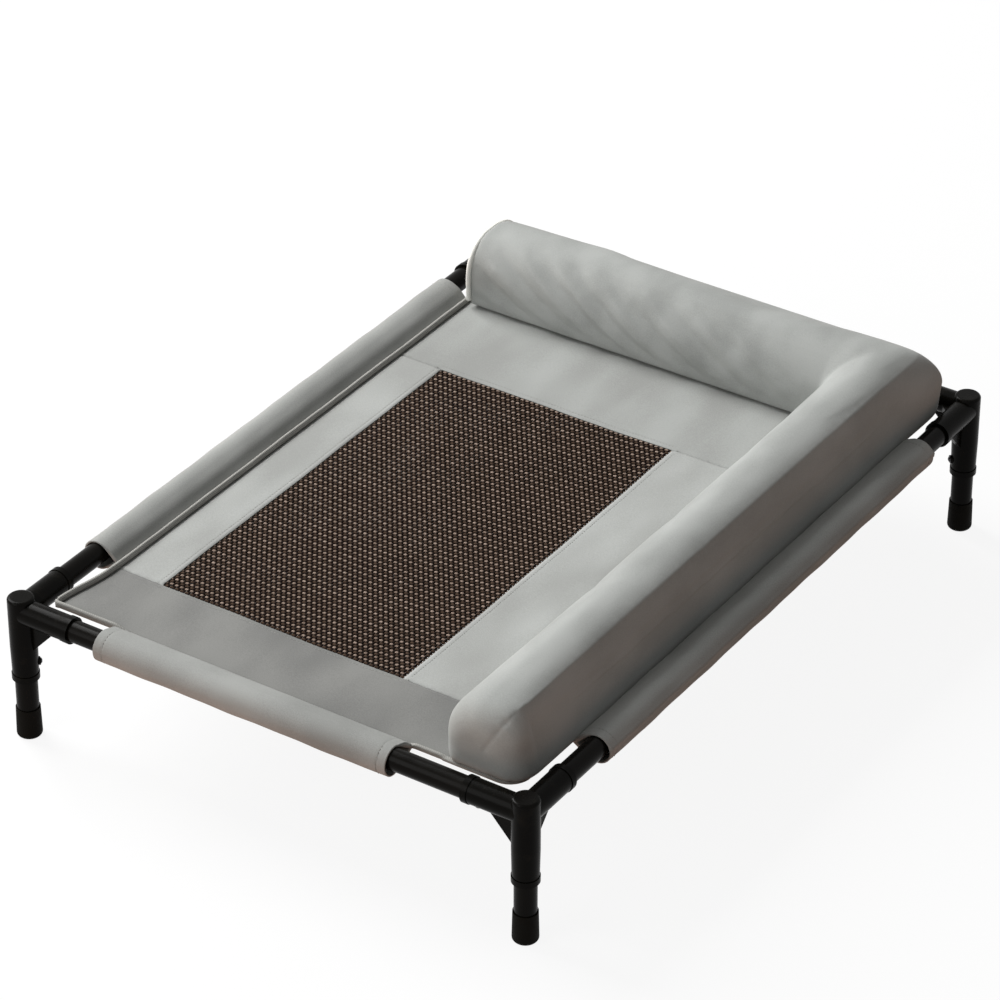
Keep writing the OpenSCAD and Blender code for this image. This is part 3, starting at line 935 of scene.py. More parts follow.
@dataclass
class EdgeSeams:
    """Bound seam round the sling: a folded tape over the seam allowance, standing up at front and left."""

    sling: Sling
    around: int = 18
    squareness: float = 0.75
    spacing: float = 2.5 * MM
    free_turn: float = 5 * MM
    turn_points: int = 9
    crest: float = 2.7 * MM
    narrows_over: float = 2 * MM
    sunk: float = 1.6 * MM
    flat: float = 5.2 * MM
    rise_again: float = 0.8
    # Where the front seam changes its height, from the sleeve's ends and the bolster's edge, and over what
    # length.
    sinks: tuple[float, float] = (-8 * MM, 22 * MM)
    rises: tuple[float, float] = (-10 * MM, 18 * MM)
    flattens: tuple[float, float] = (-1 * MM, 5 * MM)
    taper: float = 3 * MM
    blunt: float = 0.3

    def path(self, side: Side) -> np.ndarray:
        """Middle line of a seam, as points along x and y.

        The front seam turns both corners on quarter circles, and the side seams start where it ends.

        Args:
            side: which side of the sling.

        Returns:
            Points about one spacing apart.
        """
        front_low, front_high = span("front_seam")
        left, right = (np.mean([corner[0] for corner in span(f"{s.value}_seam")])
                       for s in (Side.LEFT, Side.RIGHT))
        front = (front_low[1] + front_high[1]) / 2
        low, high = span(f"{side.value}_seam")
        if side is Side.REAR:
            ends = np.array([[low[0], (low[1] + high[1]) / 2], [high[0], (low[1] + high[1]) / 2]])
        elif side is Side.LEFT:
            ends = np.array([[left, front + self.free_turn], [left, high[1]]])
        elif side is Side.RIGHT:
            ends = np.array([[right, front + self.sling.turn], [right, high[1]]])
        else:
            bend = np.radians(np.linspace(180, 270, self.turn_points))[:, None]
            turn = np.hstack([np.cos(bend), np.sin(bend)])
            first = np.array([left, front]) + self.free_turn * (1 + turn)
            last = np.array([right, front]) + self.sling.turn * np.array([-1, 1]) * (1 + turn[::-1])
            ends = np.concatenate([first, last])
        steps = walked(ends)
        return resampled(ends, steps, np.linspace(0, steps[-1], round(steps[-1] / self.spacing)))

    def standing(self, x: np.ndarray, full: float) -> np.ndarray:
        """Height of the front seam over its foot.

        It stands up at the free corner, sinks behind the front sleeve, rises again beyond it and lies flat
        under the bolster; each change is a smooth step.

        Args:
            x: places along the seam.
            full: height where it stands up.

        Returns:
            Heights.
        """
        sleeve_low, sleeve_high = span("front_sleeve")
        bolster = span("bolster_cover")[1][0] - BOLSTER_WIDTH
        levels = np.array([full, self.sunk, self.rise_again * full, self.flat])
        height = np.full_like(x, full)
        for origin, (place, width), change in zip((sleeve_low[0], sleeve_high[0], bolster),
                                                  (self.sinks, self.rises, self.flattens), np.diff(levels)):
            share = ramp((x - (origin + place)) / width)
            height += change * share ** 2 * (3 - 2 * share)
        return height

    def build(self) -> None:
        """Make the four seams.

        A seam is a superellipse section carried along its path. It wanders aside and its height wavers by
        slow sines, and its ends are rounded. A standing seam is narrower than a flat one.
        """
        wide, tall = superellipse(self.around, self.squareness)
        for side in Side:
            node = f"{side.value}_seam"
            low, high = span(node)
            path, phase = self.path(side), SEAM_PHASE[side]
            count = len(path)
            along = np.arange(count) * self.spacing
            out = rightward(np.gradient(path, axis=0))
            full = high[2] - low[2]
            height = self.standing(path[:, 0], full) if side is Side.FRONT else np.full(count, full)
            height = height * (1 + sines(along, (0.02, 27 * MM, phase), (0.012, 9.3 * MM, -phase)))
            flat_half = (high - low)[1 - side.lengthwise] / 2
            half = flat_half + (self.crest - flat_half) * ramp((height - self.flat) / self.narrows_over)
            ends = np.minimum(along, along[-1] - along)
            taper = np.sqrt(np.clip(1 - (1 - ramp(ends / self.taper)) ** 2, self.blunt, 1))
            wander = sines(along, (0.14 * MM, 31 * MM, phase), (0.06 * MM, 8.3 * MM, 2 * phase))
            points = np.empty((count, self.around, 3))
            aside = wander[:, None] + (half * taper)[:, None] * wide
            points[..., :2] = path[:, None] + out[:, None] * aside[..., None]
            points[..., 2] = low[2] + (height / 2)[:, None] * (1 + tall * taper[:, None])
            piece = make_tubes(node + "_binding", self.sling.flared(points)[None])
            settle(piece, Body.FRAME, Slot.BINDING, BINDING, node)


@dataclass
class RailSleeves:
    """Fabric sleeves that hold the sling on its rails, each a loose loop that is sewn to the edge seam."""

    rail_radius: float = 14.3 * MM
    slack: float = 3.2 * MM
    cloth: float = 2.0 * MM
    reach: float = 33 * MM
    front_reach: float = 38.3 * MM
    lining_short: float = 6 * MM
    tip_half: tuple[float, float] = (2.2 * MM, 0.15 * MM)
    fall: float = 4.7 * MM
    hem: float = 13 * MM
    arc_points: int = 40
    flank_points: int = 9
    lip: float = 0.6 * MM
    step: float = 7 * MM
    fine: tuple[float, ...] = (0.6, 1.6, 4, 8, 11, 12, 13, 14, 15, 18)
    hem_groove: Bell = Bell(0.3 * MM, 1.1 * MM)
    bulge: Bell = Bell(2.6 * MM, 9 * MM)
    bulge_at: float = 0.58
    crease: float = 2.6 * MM
    crease_width: float = 3.4 * MM
    crease_angle: float = 162.0
    calm_over: float = 10 * MM
    loose: float = 0.45 * MM
    threads: list[np.ndarray] = field(default_factory=list)

    def loop(self, radius: float, reach: float, half: float) -> np.ndarray:
        """Drop-shaped loop: an arc round the rail and two straight flanks to a tip.

        Args:
            radius: the arc's radius.
            reach: distance of the tip from the rail's axis.
            half: half height of the tip.

        Returns:
            Points as (towards the panel, up) from the loop's middle, which lies below the rail's axis by the
            slack.
        """
        ends = []
        for sign in (1, -1):
            tip = np.array([reach, self.slack - self.fall + sign * half])
            angle = math.atan2(tip[1], tip[0]) + sign * math.acos(radius / np.linalg.norm(tip))
            ends.append((tip, angle))
        (high, first), (low, last) = ends
        sweep = np.linspace(first, last + 2 * np.pi, self.arc_points)
        arc = radius * np.column_stack([np.cos(sweep), np.sin(sweep)])
        share = np.linspace(0, 1, self.flank_points)[:, None]
        return np.concatenate([high + (arc[0] - high) * share[:-1], arc,
                               arc[-1] + (low - arc[-1]) * share[1:]])

    def stand(self, side: Side, outer: np.ndarray, along: np.ndarray, ends: np.ndarray,
              reach: float) -> np.ndarray:
        """How far the outer face stands off its loop.

        Slow waves run round and along it, it bulges by a bell curve where it slopes down to the panel, and it
        dips at the stitches of its end hems. The right sleeve also has a pressed crease along its outer side,
        a ridge that falls off exponentially. All of it dies out towards the tip.

        Args:
            side: which rail it is on.
            outer: points of the loop.
            along: places along the rail.
            ends: distance of each place from the nearer end.
            reach: distance of the tip from the rail's axis.

        Returns:
            Distances by place and point of the loop.
        """
        phase, turn = SLEEVE_PHASE[side], np.arctan2(outer[:, 1], outer[:, 0])
        stand = self.loose + sines(along[:, None], (0.3 * MM, 23 * MM, 1.3 * turn + phase),
                                   (0.2 * MM, 10.5 * MM, 2 * phase - 2.1 * turn))
        stand -= self.hem_groove.at(ends[:, None] - self.hem)
        stand += self.bulge.at(outer[:, 0] - self.bulge_at * reach) * (outer[:, 1] > 0)
        if side is Side.RIGHT:
            away = np.abs(turn - math.radians(self.crease_angle)) * (self.rail_radius + self.slack)
            stand += self.crease * np.exp(-away / self.crease_width)
        return stand * ramp((reach - outer[:, 0]) / self.calm_over)

    def sleeve(self, side: Side) -> None:
        """One sleeve with its stitched end hems: an outer face and a lining, joined by a lip at the ends.

        Args:
            side: which rail it is on.
        """
        node = f"{side.value}_sleeve"
        low, high = span(node)
        rail_low, rail_high = span(f"{side.value}_rail")
        axis = (rail_low + rail_high) / 2 - np.array([0.0, 0.0, self.slack])
        run, other = side.lengthwise, 1 - side.lengthwise
        along = graded(low[run] + self.lip, high[run] - self.lip, self.step, np.array(self.fine) * MM)
        inner_radius = self.rail_radius + self.slack
        reach = self.front_reach if side is Side.FRONT else self.reach
        outer = self.loop(inner_radius + self.cloth, reach, self.tip_half[0])
        inner = self.loop(inner_radius, reach - self.lining_short, self.tip_half[1])
        normal = rightward(np.roll(outer, -1, axis=0) - np.roll(outer, 1, axis=0))
        ends = np.minimum(along - low[run], high[run] - along)
        skin = outer[None] + normal[None] * self.stand(side, outer, along, ends, reach)[..., None]
        lips = [(skin[i] + inner) / 2 for i in (0, -1)]
        lining = np.broadcast_to(inner, (len(along),) + inner.shape)[::-1]
        rows = np.concatenate([lips[:1], skin, lips[1:], lining])
        where = np.concatenate([[low[run]], along, [high[run]], along[::-1]])
        points = np.empty(rows.shape[:2] + (3,))
        points[..., run] = where[:, None]
        points[..., other] = axis[other] + side.inward * rows[..., 0]
        points[..., 2] = axis[2] + rows[..., 1]
        faces = grid_faces(*rows.shape[:2], wrap_rows=True, wrap_columns=True)
        piece = make_piece(node + "_cloth", points, faces)
        settle(piece, Body.FRAME, Slot.SUEDE, SLEEVE_SUEDE, node)
        for end in (low[run] + self.hem, high[run] - self.hem):
            path, up = np.empty((len(outer), 3)), np.zeros((len(outer), 3))
            path[:, run], path[:, other] = end, axis[other] + side.inward * outer[:, 0]
            path[:, 2] = axis[2] + outer[:, 1]
            up[:, other], up[:, 2] = side.inward * normal[:, 0], normal[:, 1]
            self.threads.append(ThreadRow().points(path, up))

    def build(self) -> None:
        """Make the four sleeves and the stitches of their end hems."""
        for side in Side:
            self.sleeve(side)
        sew("sleeve_stitches", self.threads)


@dataclass(frozen=True)
class Dart:
    """Puckered groove on the bolster's front end, at places across from the inner wall and up."""

    top: tuple[float, float] = (89 * MM, 84 * MM)
    foot: tuple[float, float] = (62 * MM, 36 * MM)
    depth: float = 1.4 * MM
    width: float = 2.2 * MM
    pucker: Bell = Bell(0.6 * MM, 8 * MM)
    pucker_length: float = 1.9 * MM
    pucker_at: float = 8 * MM
    pucker_over: float = 14 * MM

    def at(self, place: np.ndarray) -> np.ndarray:
        """How far the cloth moves out at places on the end.

        The groove falls off exponentially with the distance from a straight line, and sine puckers cross it.

        Args:
            place: places across and up.

        Returns:
            Moves by place.
        """
        top, foot = np.array(self.top), np.array(self.foot)
        length = np.linalg.norm(foot - top)
        way = (foot - top) / length
        off = place - top
        along = off @ way
        aside = np.abs(off @ np.array([-way[1], way[0]]))
        aside = np.hypot(aside, np.maximum(np.maximum(-along, along - length), 0))
        near = hump(along - self.pucker_at, self.pucker_over)
        pucker = np.sin(along / self.pucker_length) * self.pucker.at(aside) * near
        return pucker - self.depth * np.exp(-aside / self.width)


@dataclass(frozen=True)
class Fold:
    """Fold along the bolster's outer top edge, at a place across from the inner wall and up from the base."""

    across: float = 92 * MM
    up: float = 86.5 * MM
    pucker: Bell = Bell(0.22 * MM, 7 * MM)
    pucker_length: float = 2.7 * MM
    flatten: float = 0.85
    near: float = 7 * MM
    deep: float = 30 * MM
    length: float = 20 * MM

    def shift(self, across: np.ndarray, up: np.ndarray, along: np.ndarray) -> np.ndarray:
        """How far the filled cover stands out from the fold's place.

        Points near the fold's diagonal are averaged over short lengths of the run.

        Args:
            across: each point's distance from the inner wall.
            up: each point's height over the base.
            along: each point's distance from the left end.

        Returns:
            Shift of the fold outwards and upwards at each point.
        """
        aside, proud = across - self.across, up - self.up
        near = (np.abs(aside - proud) < self.near) & (aside + proud > -self.deep)
        bins = np.maximum(along / self.length, 0).astype(int)
        count = np.bincount(bins[near], minlength=bins.max() + 1)
        total = np.bincount(bins[near], (aside + proud)[near] / 2, minlength=bins.max() + 1)
        return np.interp(along, (np.arange(len(count)) + 0.5) * self.length, total / np.maximum(count, 1))

    def at(self, across: np.ndarray, up: np.ndarray, along: np.ndarray, width: float) -> np.ndarray:
        """How far the cloth moves out.

        Outside the fold it is drawn in most of the way to a plane from the fold to the outer base edge, with
        fine sine puckers across the fold.

        Args:
            across: each point's distance from the inner wall.
            up: each point's height over the base.
            along: each point's distance from the left end.
            width: the bolster's width.

        Returns:
            Moves by point.
        """
        beyond = ((across - self.across) + (self.up - up)) / math.sqrt(2)
        shift = self.shift(across, up, along)
        lean = (width - self.across - shift) / (self.up + shift)
        outside = across - self.across - shift - lean * (self.up + shift - up)
        outside = np.maximum(outside, 0) / np.hypot(1, lean)
        return np.sin(along / self.pucker_length) * self.pucker.at(beyond) - self.flatten * outside


@dataclass(frozen=True)
class Wrinkles:
    """Slanting wrinkles on the bolster's rear arm: uneven broad sines and fine ones in a band."""

    broad: float = 2.8 * MM
    broad_length: float = 10.6 * MM
    uneven: float = 0.9
    uneven_length: float = 43 * MM
    fine: float = 0.3 * MM
    fine_length: float = 3.9 * MM
    slant: float = 1.75
    # It grows in over foot and start, ends at the first length of top and end, and fades over the second.
    foot: float = 20 * MM
    top: tuple[float, float] = (98 * MM, 34 * MM)
    start: float = 40 * MM
    end: tuple[float, float] = (540 * MM, 200 * MM)

    def at(self, up: np.ndarray, along: np.ndarray) -> np.ndarray:
        """How far the cloth moves out.

        Args:
            up: each point's height over the base.
            along: each point's distance from the left end.

        Returns:
            Moves by point.
        """
        band = ramp(up / self.foot) * ramp((self.top[0] - up) / self.top[1])
        band *= ramp(along / self.start) * ramp((self.end[0] - along) / self.end[1])
        run = along + self.slant * up
        broad = np.sin(run / self.broad_length + self.uneven * np.sin(run / self.uneven_length))
        return band * (self.broad * broad + self.fine * np.sin(run / self.fine_length))


@dataclass
class Bolster:
    """L-shaped padded bolster along the rear and the right side, with piping round its left end."""

    width: float = BOLSTER_WIDTH
    turn: float = 4 * MM
    inner_round: float = 54 * MM
    left_round: float = 47 * MM
    outer_rise: float = 34 * MM
    corner_rise: float = 12 * MM
    corner_high: float = 3 * MM
    left_shoulder: float = 54 * MM
    rear_shoulder: float = 26 * MM
    right_shoulder: float = 45 * MM
    left_over: float = 160 * MM
    fuller: float = 4.5 * MM
    fuller_left: float = 0.8
    fuller_over: float = 120 * MM
    inner_draw: tuple[float, float] = (4 * MM, 16 * MM)
    outer_draw: tuple[float, float] = (3 * MM, 6 * MM)
    squareness: float = 16.0
    bulge: float = 11 * MM
    belly: float = 0.75
    left_draw: float = 0.8 * MM
    draw_over: float = 70 * MM
    crown: float = 38 * MM
    inner_end: float = 28 * MM
    outer_end: float = 40 * MM
    end_draw: tuple[float, float] = (5 * MM, 20 * MM)
    fold: Fold = Fold()
    fold_grows: float = 60 * MM
    # Where the fold starts and the dart ends behind the front end, and over what length they change.
    fold_start: tuple[float, float] = (6 * MM, 34 * MM)
    fold_loss: float = 0.75
    fold_fades: float = 90 * MM
    dart: Dart = Dart()
    dart_reach: tuple[float, float] = (34 * MM, 14 * MM)
    wrinkles: Wrinkles = Wrinkles()
    arc_points: int = 12
    rear_stations: int = 50
    corner_stations: int = 48
    arm_stations: int = 60
    end_stations: int = 16
    voxel: float = 5 * MM
    frames: int = 20
    held_base: float = 4 * MM
    held_end: float = 5 * MM
    cap: float = 6 * MM
    calm: int = 14
    keep: float = 0.4
    cord_points: int = 90
    cord_sides: int = 12
    # In radii of the CAD piping: the cord's own radius, its way out of the end, its depth in the cover at the
    # base and how much deeper it lies at the top.
    cord_girth: float = 1.2
    cord_out: float = 0.2
    cord_sunk: tuple[float, float] = (-0.1, 1.2)
    cord_waver: tuple[float, float] = (0.03, 4 * MM)

    def __post_init__(self) -> None:
        """Take the bolster's place and height from its CAD cover."""
        low, high = span("bolster_cover")
        self.left, self.front, self.base = low
        self.rise = high[2] - self.base
        self.pivot = high[:2] - self.width - self.turn

    def section(self, inner: np.ndarray, shoulder: np.ndarray, drop: np.ndarray) -> np.ndarray:
        """Closed outlines of the bolster across its run.

        Four elliptical quarter arcs: a low one at each side of the base, a wide one over the inner side and
        the shoulder over the outer side.

        Args:
            inner: radius of the inner arc at each station.
            shoulder: width of the outer arc at each station.
            drop: height of the outer arc at each station.

        Returns:
            Points as (across from the inner wall, up from the base), by station.
        """
        w, h = self.width, self.rise
        (inner_in, inner_up), (outer_in, outer_up) = self.inner_draw, self.outer_draw
        inner, shoulder, drop = inner[:, None], shoulder[:, None], drop[:, None]
        arcs = ((inner_in, inner_in, inner_up, inner_up, (270, 180)),
                (inner, inner, h - inner, inner, (180, 90)),
                (w - shoulder, shoulder, h - drop, drop, (90, 0)),
                (w - outer_in, outer_in, outer_up, outer_up, (0, -90)))
        outline = np.empty((len(shoulder), len(arcs), self.arc_points, 2))
        for i, (across, half, up, rise, (start, end)) in enumerate(arcs):
            angle = np.radians(np.linspace(start, end, self.arc_points))
            outline[:, i, :, 0] = across + half * np.cos(angle)
            outline[:, i, :, 1] = up + rise * np.sin(angle)
        return outline.reshape(len(shoulder), -1, 2)

    def corner_share(self, angle: np.ndarray) -> np.ndarray:
        """How much further out the outer wall lies round the corner, which is a superellipse.

        Args:
            angle: angles round the pivot.

        Returns:
            Share of the width at each angle.
        """
        far, power = self.turn + self.width, self.squareness
        reach = far / (np.abs(np.cos(angle)) ** power + np.abs(np.sin(angle)) ** power) ** (1 / power)
        return (reach - self.turn) / self.width

    @staticmethod
    def drawn_in(distance: np.ndarray, radius: float) -> np.ndarray:
        """How far an end that is rounded to a quarter circle draws in, at a distance from its tip."""
        return radius - np.sqrt(radius ** 2 - np.clip(radius - distance, 0, radius) ** 2)

    def stations(self, *parts: np.ndarray | float) -> np.ndarray:
        """One value for each station.

        Args:
            parts: values along the rear arm, round the corner and down the right arm; one may fill a part.

        Returns:
            The values in the order of the run.
        """
        counts = (self.rear_stations, self.corner_stations, self.arm_stations + self.end_stations - 1)
        return np.concatenate([np.full(count, part, float) for count, part in zip(counts, parts)])

    def rings(self) -> np.ndarray:
        """Sections carried along the rear arm, round the corner and down the right arm.

        The left end is drawn in a little. The front end closes on quarter circles, and its base lifts on a
        quarter ellipse. The outer shoulder is tight along the rear and wider at the left end and along the
        right arm. The rear stands a little higher, and the corner is rounder, higher still and has a belly on
        its outer side, half a sine of a power of the height.

        Returns:
            Coordinates by station and outline point.
        """
        px, py = self.pivot
        xs = np.linspace(self.left, px, self.rear_stations)
        draw = self.left_draw * ramp(1 - (xs - self.left) / self.draw_over) ** 2
        angles = np.linspace(np.pi / 2, 0, self.corner_stations + 2)[1:-1]
        d = np.concatenate([np.linspace(py - self.front, self.crown, self.arm_stations),
                            self.crown * np.linspace(1, 0, self.end_stations)[1:] ** 2])
        x, y = self.stations(xs, px, px), self.stations(py, py, self.front + d)
        angle = self.stations(np.pi / 2, angles, 0)[:, None]
        share = self.stations(1, self.corner_share(angles), 1)[:, None]
        near, far, lower = (self.stations(draw, 0, self.drawn_in(d, radius))[:, None]
                            for radius in (self.inner_end, self.outer_end, self.crown))
        deep, high = self.end_draw
        lift = self.stations(0, 0, high / deep * self.drawn_in(d, deep))[:, None]
        rear = ramp((x - self.left) / self.left_over)
        right = ramp(2 * np.cos(angle[:, 0]) ** 2)
        tight = self.left_shoulder + (self.rear_shoulder - self.left_shoulder) * rear
        corner = np.sin(2 * angle) ** 2
        outline = self.section(self.left_round + (self.inner_round - self.left_round) * rear,
                               tight + (self.right_shoulder - tight) * right,
                               self.outer_rise + self.corner_rise * corner[:, 0])
        over, up = outline[..., 0], outline[..., 1]
        across = self.turn + share * (near + over * (1 - (near + far) / self.width))
        belly = np.sin(np.pi * ramp(up / self.rise) ** self.belly)
        across += 2 * self.bulge * corner * belly * np.maximum(over / self.width - 0.5, 0)
        higher = self.fuller * (self.fuller_left + (1 - self.fuller_left) * rear)
        higher *= ramp(1 - (py - y) / self.fuller_over)
        higher = higher[:, None] + self.corner_high * corner
        z = self.base + lift + up * ((self.rise + higher - lower - lift) / self.rise)
        x, y = x[:, None] + across * np.cos(angle), y[:, None] + across * np.sin(angle)
        return np.stack([x, y, z], axis=-1)

    def lay(self, x: np.ndarray, y: np.ndarray) -> tuple[np.ndarray, np.ndarray]:
        """Where a point lies on the run of the L.

        Args:
            x: places along x.
            y: places along y.

        Returns:
            Distance across from the inner wall, and along from the left end.
        """
        dx, dy = x - self.pivot[0], y - self.pivot[1]
        angle = np.arctan2(np.maximum(dy, 0), np.maximum(dx, 0))
        corner = (dx > 0) & (dy > 0)
        around = (np.hypot(dx, dy) - self.turn) / self.corner_share(angle)
        across = np.where(corner, around, np.where(dy > 0, dy, dx) - self.turn)
        first, bend = self.pivot[0] - self.left, self.width
        straight = np.where(dy > 0, first + dx, first + bend - dy)
        return across, np.where(corner, first + bend * (1 - 2 * angle / np.pi), straight)

    def swell(self, piece: Piece) -> None:
        """Fill the cover by cloth simulation with inside pressure, its base and left end held.

        The move of each point is averaged with its neighbours' a few times and capped, so that the cover
        swells without dents.

        Args:
            piece: the even cover.
        """
        mesh, scene = piece.data, bpy.context.scene
        rest = vertex_values(mesh, "co")
        base = piece.vertex_groups.new(name="base")
        held = (rest[:, 2] < self.base + self.held_base) | (rest[:, 0] < self.left + self.held_end)
        base.add(np.flatnonzero(held).tolist(), 1.0, "REPLACE")
        cloth = piece.modifiers.new("filling", "CLOTH")
        settings = {"quality": 5, "mass": 0.3, "tension_stiffness": 15, "compression_stiffness": 15,
                    "shear_stiffness": 5, "bending_stiffness": 0.5, "use_pressure": True,
                    "uniform_pressure_force": 4, "vertex_group_mass": base.name, "shrink_min": -0.003}
        for name, value in settings.items():
            setattr(cloth.settings, name, value)
        cloth.settings.effector_weights.gravity = 0
        cloth.point_cache.frame_start, cloth.point_cache.frame_end = 1, self.frames
        for step in range(1, self.frames + 1):
            scene.frame_set(step)
        full = piece.evaluated_get(bpy.context.evaluated_depsgraph_get()).data
        move = vertex_values(full, "co") - rest
        edges = np.empty(len(mesh.edges) * 2, np.int32)
        mesh.edges.foreach_get("vertices", edges)
        first, second = edges.reshape(-1, 2).T
        count = np.bincount(edges, minlength=len(rest))[:, None]
        for _ in range(self.calm):
            total = np.zeros_like(move)
            np.add.at(total, first, move[second])
            np.add.at(total, second, move[first])
            move = self.keep * move + (1 - self.keep) * total / count
        far = np.linalg.norm(move, axis=1, keepdims=True)
        LOG.info("bolster filling moved points by up to %.1f mm", far.max() * 1000)
        move *= np.minimum(1, self.cap / np.maximum(far, 1e-9))
        piece.modifiers.remove(cloth)
        scene.frame_set(1)
        mesh.vertices.foreach_set("co", (rest + move).ravel())
        mesh.update()

    @staticmethod
    def baked(piece: Piece) -> None:
        """Apply a piece's modifiers to its mesh.

        Args:
            piece: the piece.
        """
        made = bpy.data.meshes.new_from_object(piece.evaluated_get(bpy.context.evaluated_depsgraph_get()))
        piece.modifiers.clear()
        piece.data = made

    def crease(self, piece: Piece) -> None:
        """Move the filled cover's points along their normals by its fold, its dart and its wrinkles.

        The fold runs along the right arm and weakens round the corner. The dart is on the front end, and the
        wrinkles are on the inner face.

        Args:
            piece: the filled cover.
        """
        mesh = piece.data
        place, normal = (vertex_values(mesh, name).astype(float) for name in ("co", "normal"))
        x, y, up = place[:, 0], place[:, 1], place[:, 2] - self.base
        across, along = self.lay(x, y)
        right_arm = ramp((x - self.pivot[0]) / self.fold_grows)
        right_arm *= ramp((y - self.front - self.fold_start[0]) / self.fold_start[1])
        right_arm *= 1 - self.fold_loss * ramp((y - self.pivot[1]) / self.fold_fades)
        on_end = ramp((self.front + self.dart_reach[0] - y) / self.dart_reach[1])
        depth = right_arm * self.fold.at(across, up, along, self.width)
        depth += on_end * self.dart.at(np.column_stack([x - self.pivot[0] - self.turn, up]))
        depth += (across < self.width / 2) * self.wrinkles.at(up, along)
        place += normal * depth[:, None]
        place[:, 2] = np.maximum(place[:, 2], self.base)
        mesh.vertices.foreach_set("co", place.astype(np.float32).ravel())
        mesh.update()

    def cover(self) -> None:
        """Make the filled cover: rings, an even remesh on them, the filling, a subdivision, the creases."""
        rings = self.rings()[None]
        form, piece = (make_tubes(name, rings) for name in ("bolster_form", "bolster_padded_cover"))
        even = piece.modifiers.new("even", "REMESH")
        even.mode, even.voxel_size = "VOXEL", self.voxel
        fit = piece.modifiers.new("fit", "SHRINKWRAP")
        fit.target, fit.wrap_method = form, "NEAREST_SURFACEPOINT"
        self.baked(piece)
        bpy.data.objects.remove(form, do_unlink=True)
        self.swell(piece)
        finer = piece.modifiers.new("finer", "SUBSURF")
        finer.levels = finer.render_levels = 1
        self.baked(piece)
        self.crease(piece)
        piece.data.shade_smooth()
        settle(piece, Body.BOLSTER, Slot.SUEDE, BOLSTER_SUEDE, "bolster_cover", "bolster_filling")

    def piping(self) -> None:
        """Make the piping, a round cord along the left end's outline that sinks in towards the top."""
        low, high = span("bolster_end_piping")
        radius = (high[0] - low[0]) / 2
        outline = self.rings()[0]
        outline = outline[outline[:, 2] > self.base + 2 * radius]
        steps = walked(outline)
        even = np.linspace(0, steps[-1], self.cord_points)
        path = resampled(outline, steps, even)
        lengthwise = np.array([1.0, 0.0, 0.0])
        out = np.cross(lengthwise, unit(np.gradient(path, axis=0)))
        sunk = self.cord_sunk[0] + self.cord_sunk[1] * ramp((path[:, 2] - self.base) / self.rise) ** 3
        middle = path - out * (sunk * radius)[:, None]
        middle[:, 0] = self.left - self.cord_out * radius
        angle = 2 * np.pi * np.arange(self.cord_sides) / self.cord_sides
        ring = np.cos(angle)[:, None] * out[:, None] + np.sin(angle)[:, None] * lengthwise
        girth = self.cord_girth * radius * (1 + sines(even, (*self.cord_waver, 0.0)))
        points = middle[:, None] + ring * girth[:, None, None]
        piece = make_tubes("bolster_end_piping_cord", points[None])
        settle(piece, Body.BOLSTER, Slot.PIPING, PIPING, "bolster_end_piping")

    def build(self) -> None:
        """Make the cover and its piping."""
        self.cover()
        self.piping()


@dataclass
class FasteningTapes:
    """Hook-and-loop tapes under the bolster: loop strips on the sling, hook strips on the bolster's base."""

    width: float = 50 * MM
    short: float = 116.5 * MM
    squareness: float = 0.35
    around: int = 24
    stations: int = 120

    def build(self) -> None:
        """Make both pairs of strips.

        A strip is a flat superellipse section along its run, and the two strips of a pair are one piece.
        """
        flat, tall = superellipse(self.around, self.squareness)
        for node, body, finish in (("panel_loop_tapes", Body.FRAME, LOOP_PILE),
                                   ("bolster_hook_tapes", Body.BOLSTER, HOOK_PILE)):
            low, high = span(node)
            strips = np.empty((2, self.stations, self.around, 3))
            for run, strip in enumerate(strips):
                other = 1 - run
                strip[..., run] = np.linspace(low[run], high[run] - self.short, self.stations)[:, None]
                strip[..., other] = high[other] - self.width / 2 + self.width / 2 * flat
                strip[..., 2] = (low[2] + high[2]) / 2 + (high[2] - low[2]) / 2 * tall
            settle(make_tubes(node + "_pile", strips), body, Slot.TAPE, finish, node)


@dataclass
class TubeFrame:
    """Steel tubes, moulded corners, feet and screws, which keep their CAD shapes."""

    # A node takes the first finish whose word is in its name.
    finishes: tuple[tuple[str, Finish], ...] = (
        ("screws", BlackenedScrew("blackened_screw")),
        ("corner_fitting", MouldedPlastic("moulded_polypropylene")),
        ("foot", MouldedRubber("moulded_rubber")),
        ("leg_", PowderCoat("black_powder_coat")),
        ("_rail", PowderCoat("black_powder_coat")),
    )

    def dress(self) -> None:
        """Give each CAD node of the frame its finish."""
        for name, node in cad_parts.items():
            finish = next((made for word, made in self.finishes if word in name), None)
            if finish is not None:
                node.data.materials.clear()
                node.data.materials.append(finish.material())
                LOG.info("%s: %s", name, finish.name)


@dataclass(frozen=True)
class Lamp:
    """Square soft lamp that faces the cot."""

    name: str
    place: tuple[float, float, float]
    size: float
    power: float
    target: tuple[float, float, float] = (0.0, 0.0, 0.15)

    def hang(self) -> None:
        """Put the lamp in its place."""
        data = bpy.data.lights.new(self.name, "AREA")
        data.shape, data.size, data.energy = "SQUARE", self.size, self.power
        lamp = bpy.data.objects.new(self.name, data)
        lamp.location = self.place
        lamp.rotation_euler = (Vector(self.target) - Vector(self.place)).to_track_quat("-Z", "Y").to_euler()
        bpy.context.scene.collection.objects.link(lamp)


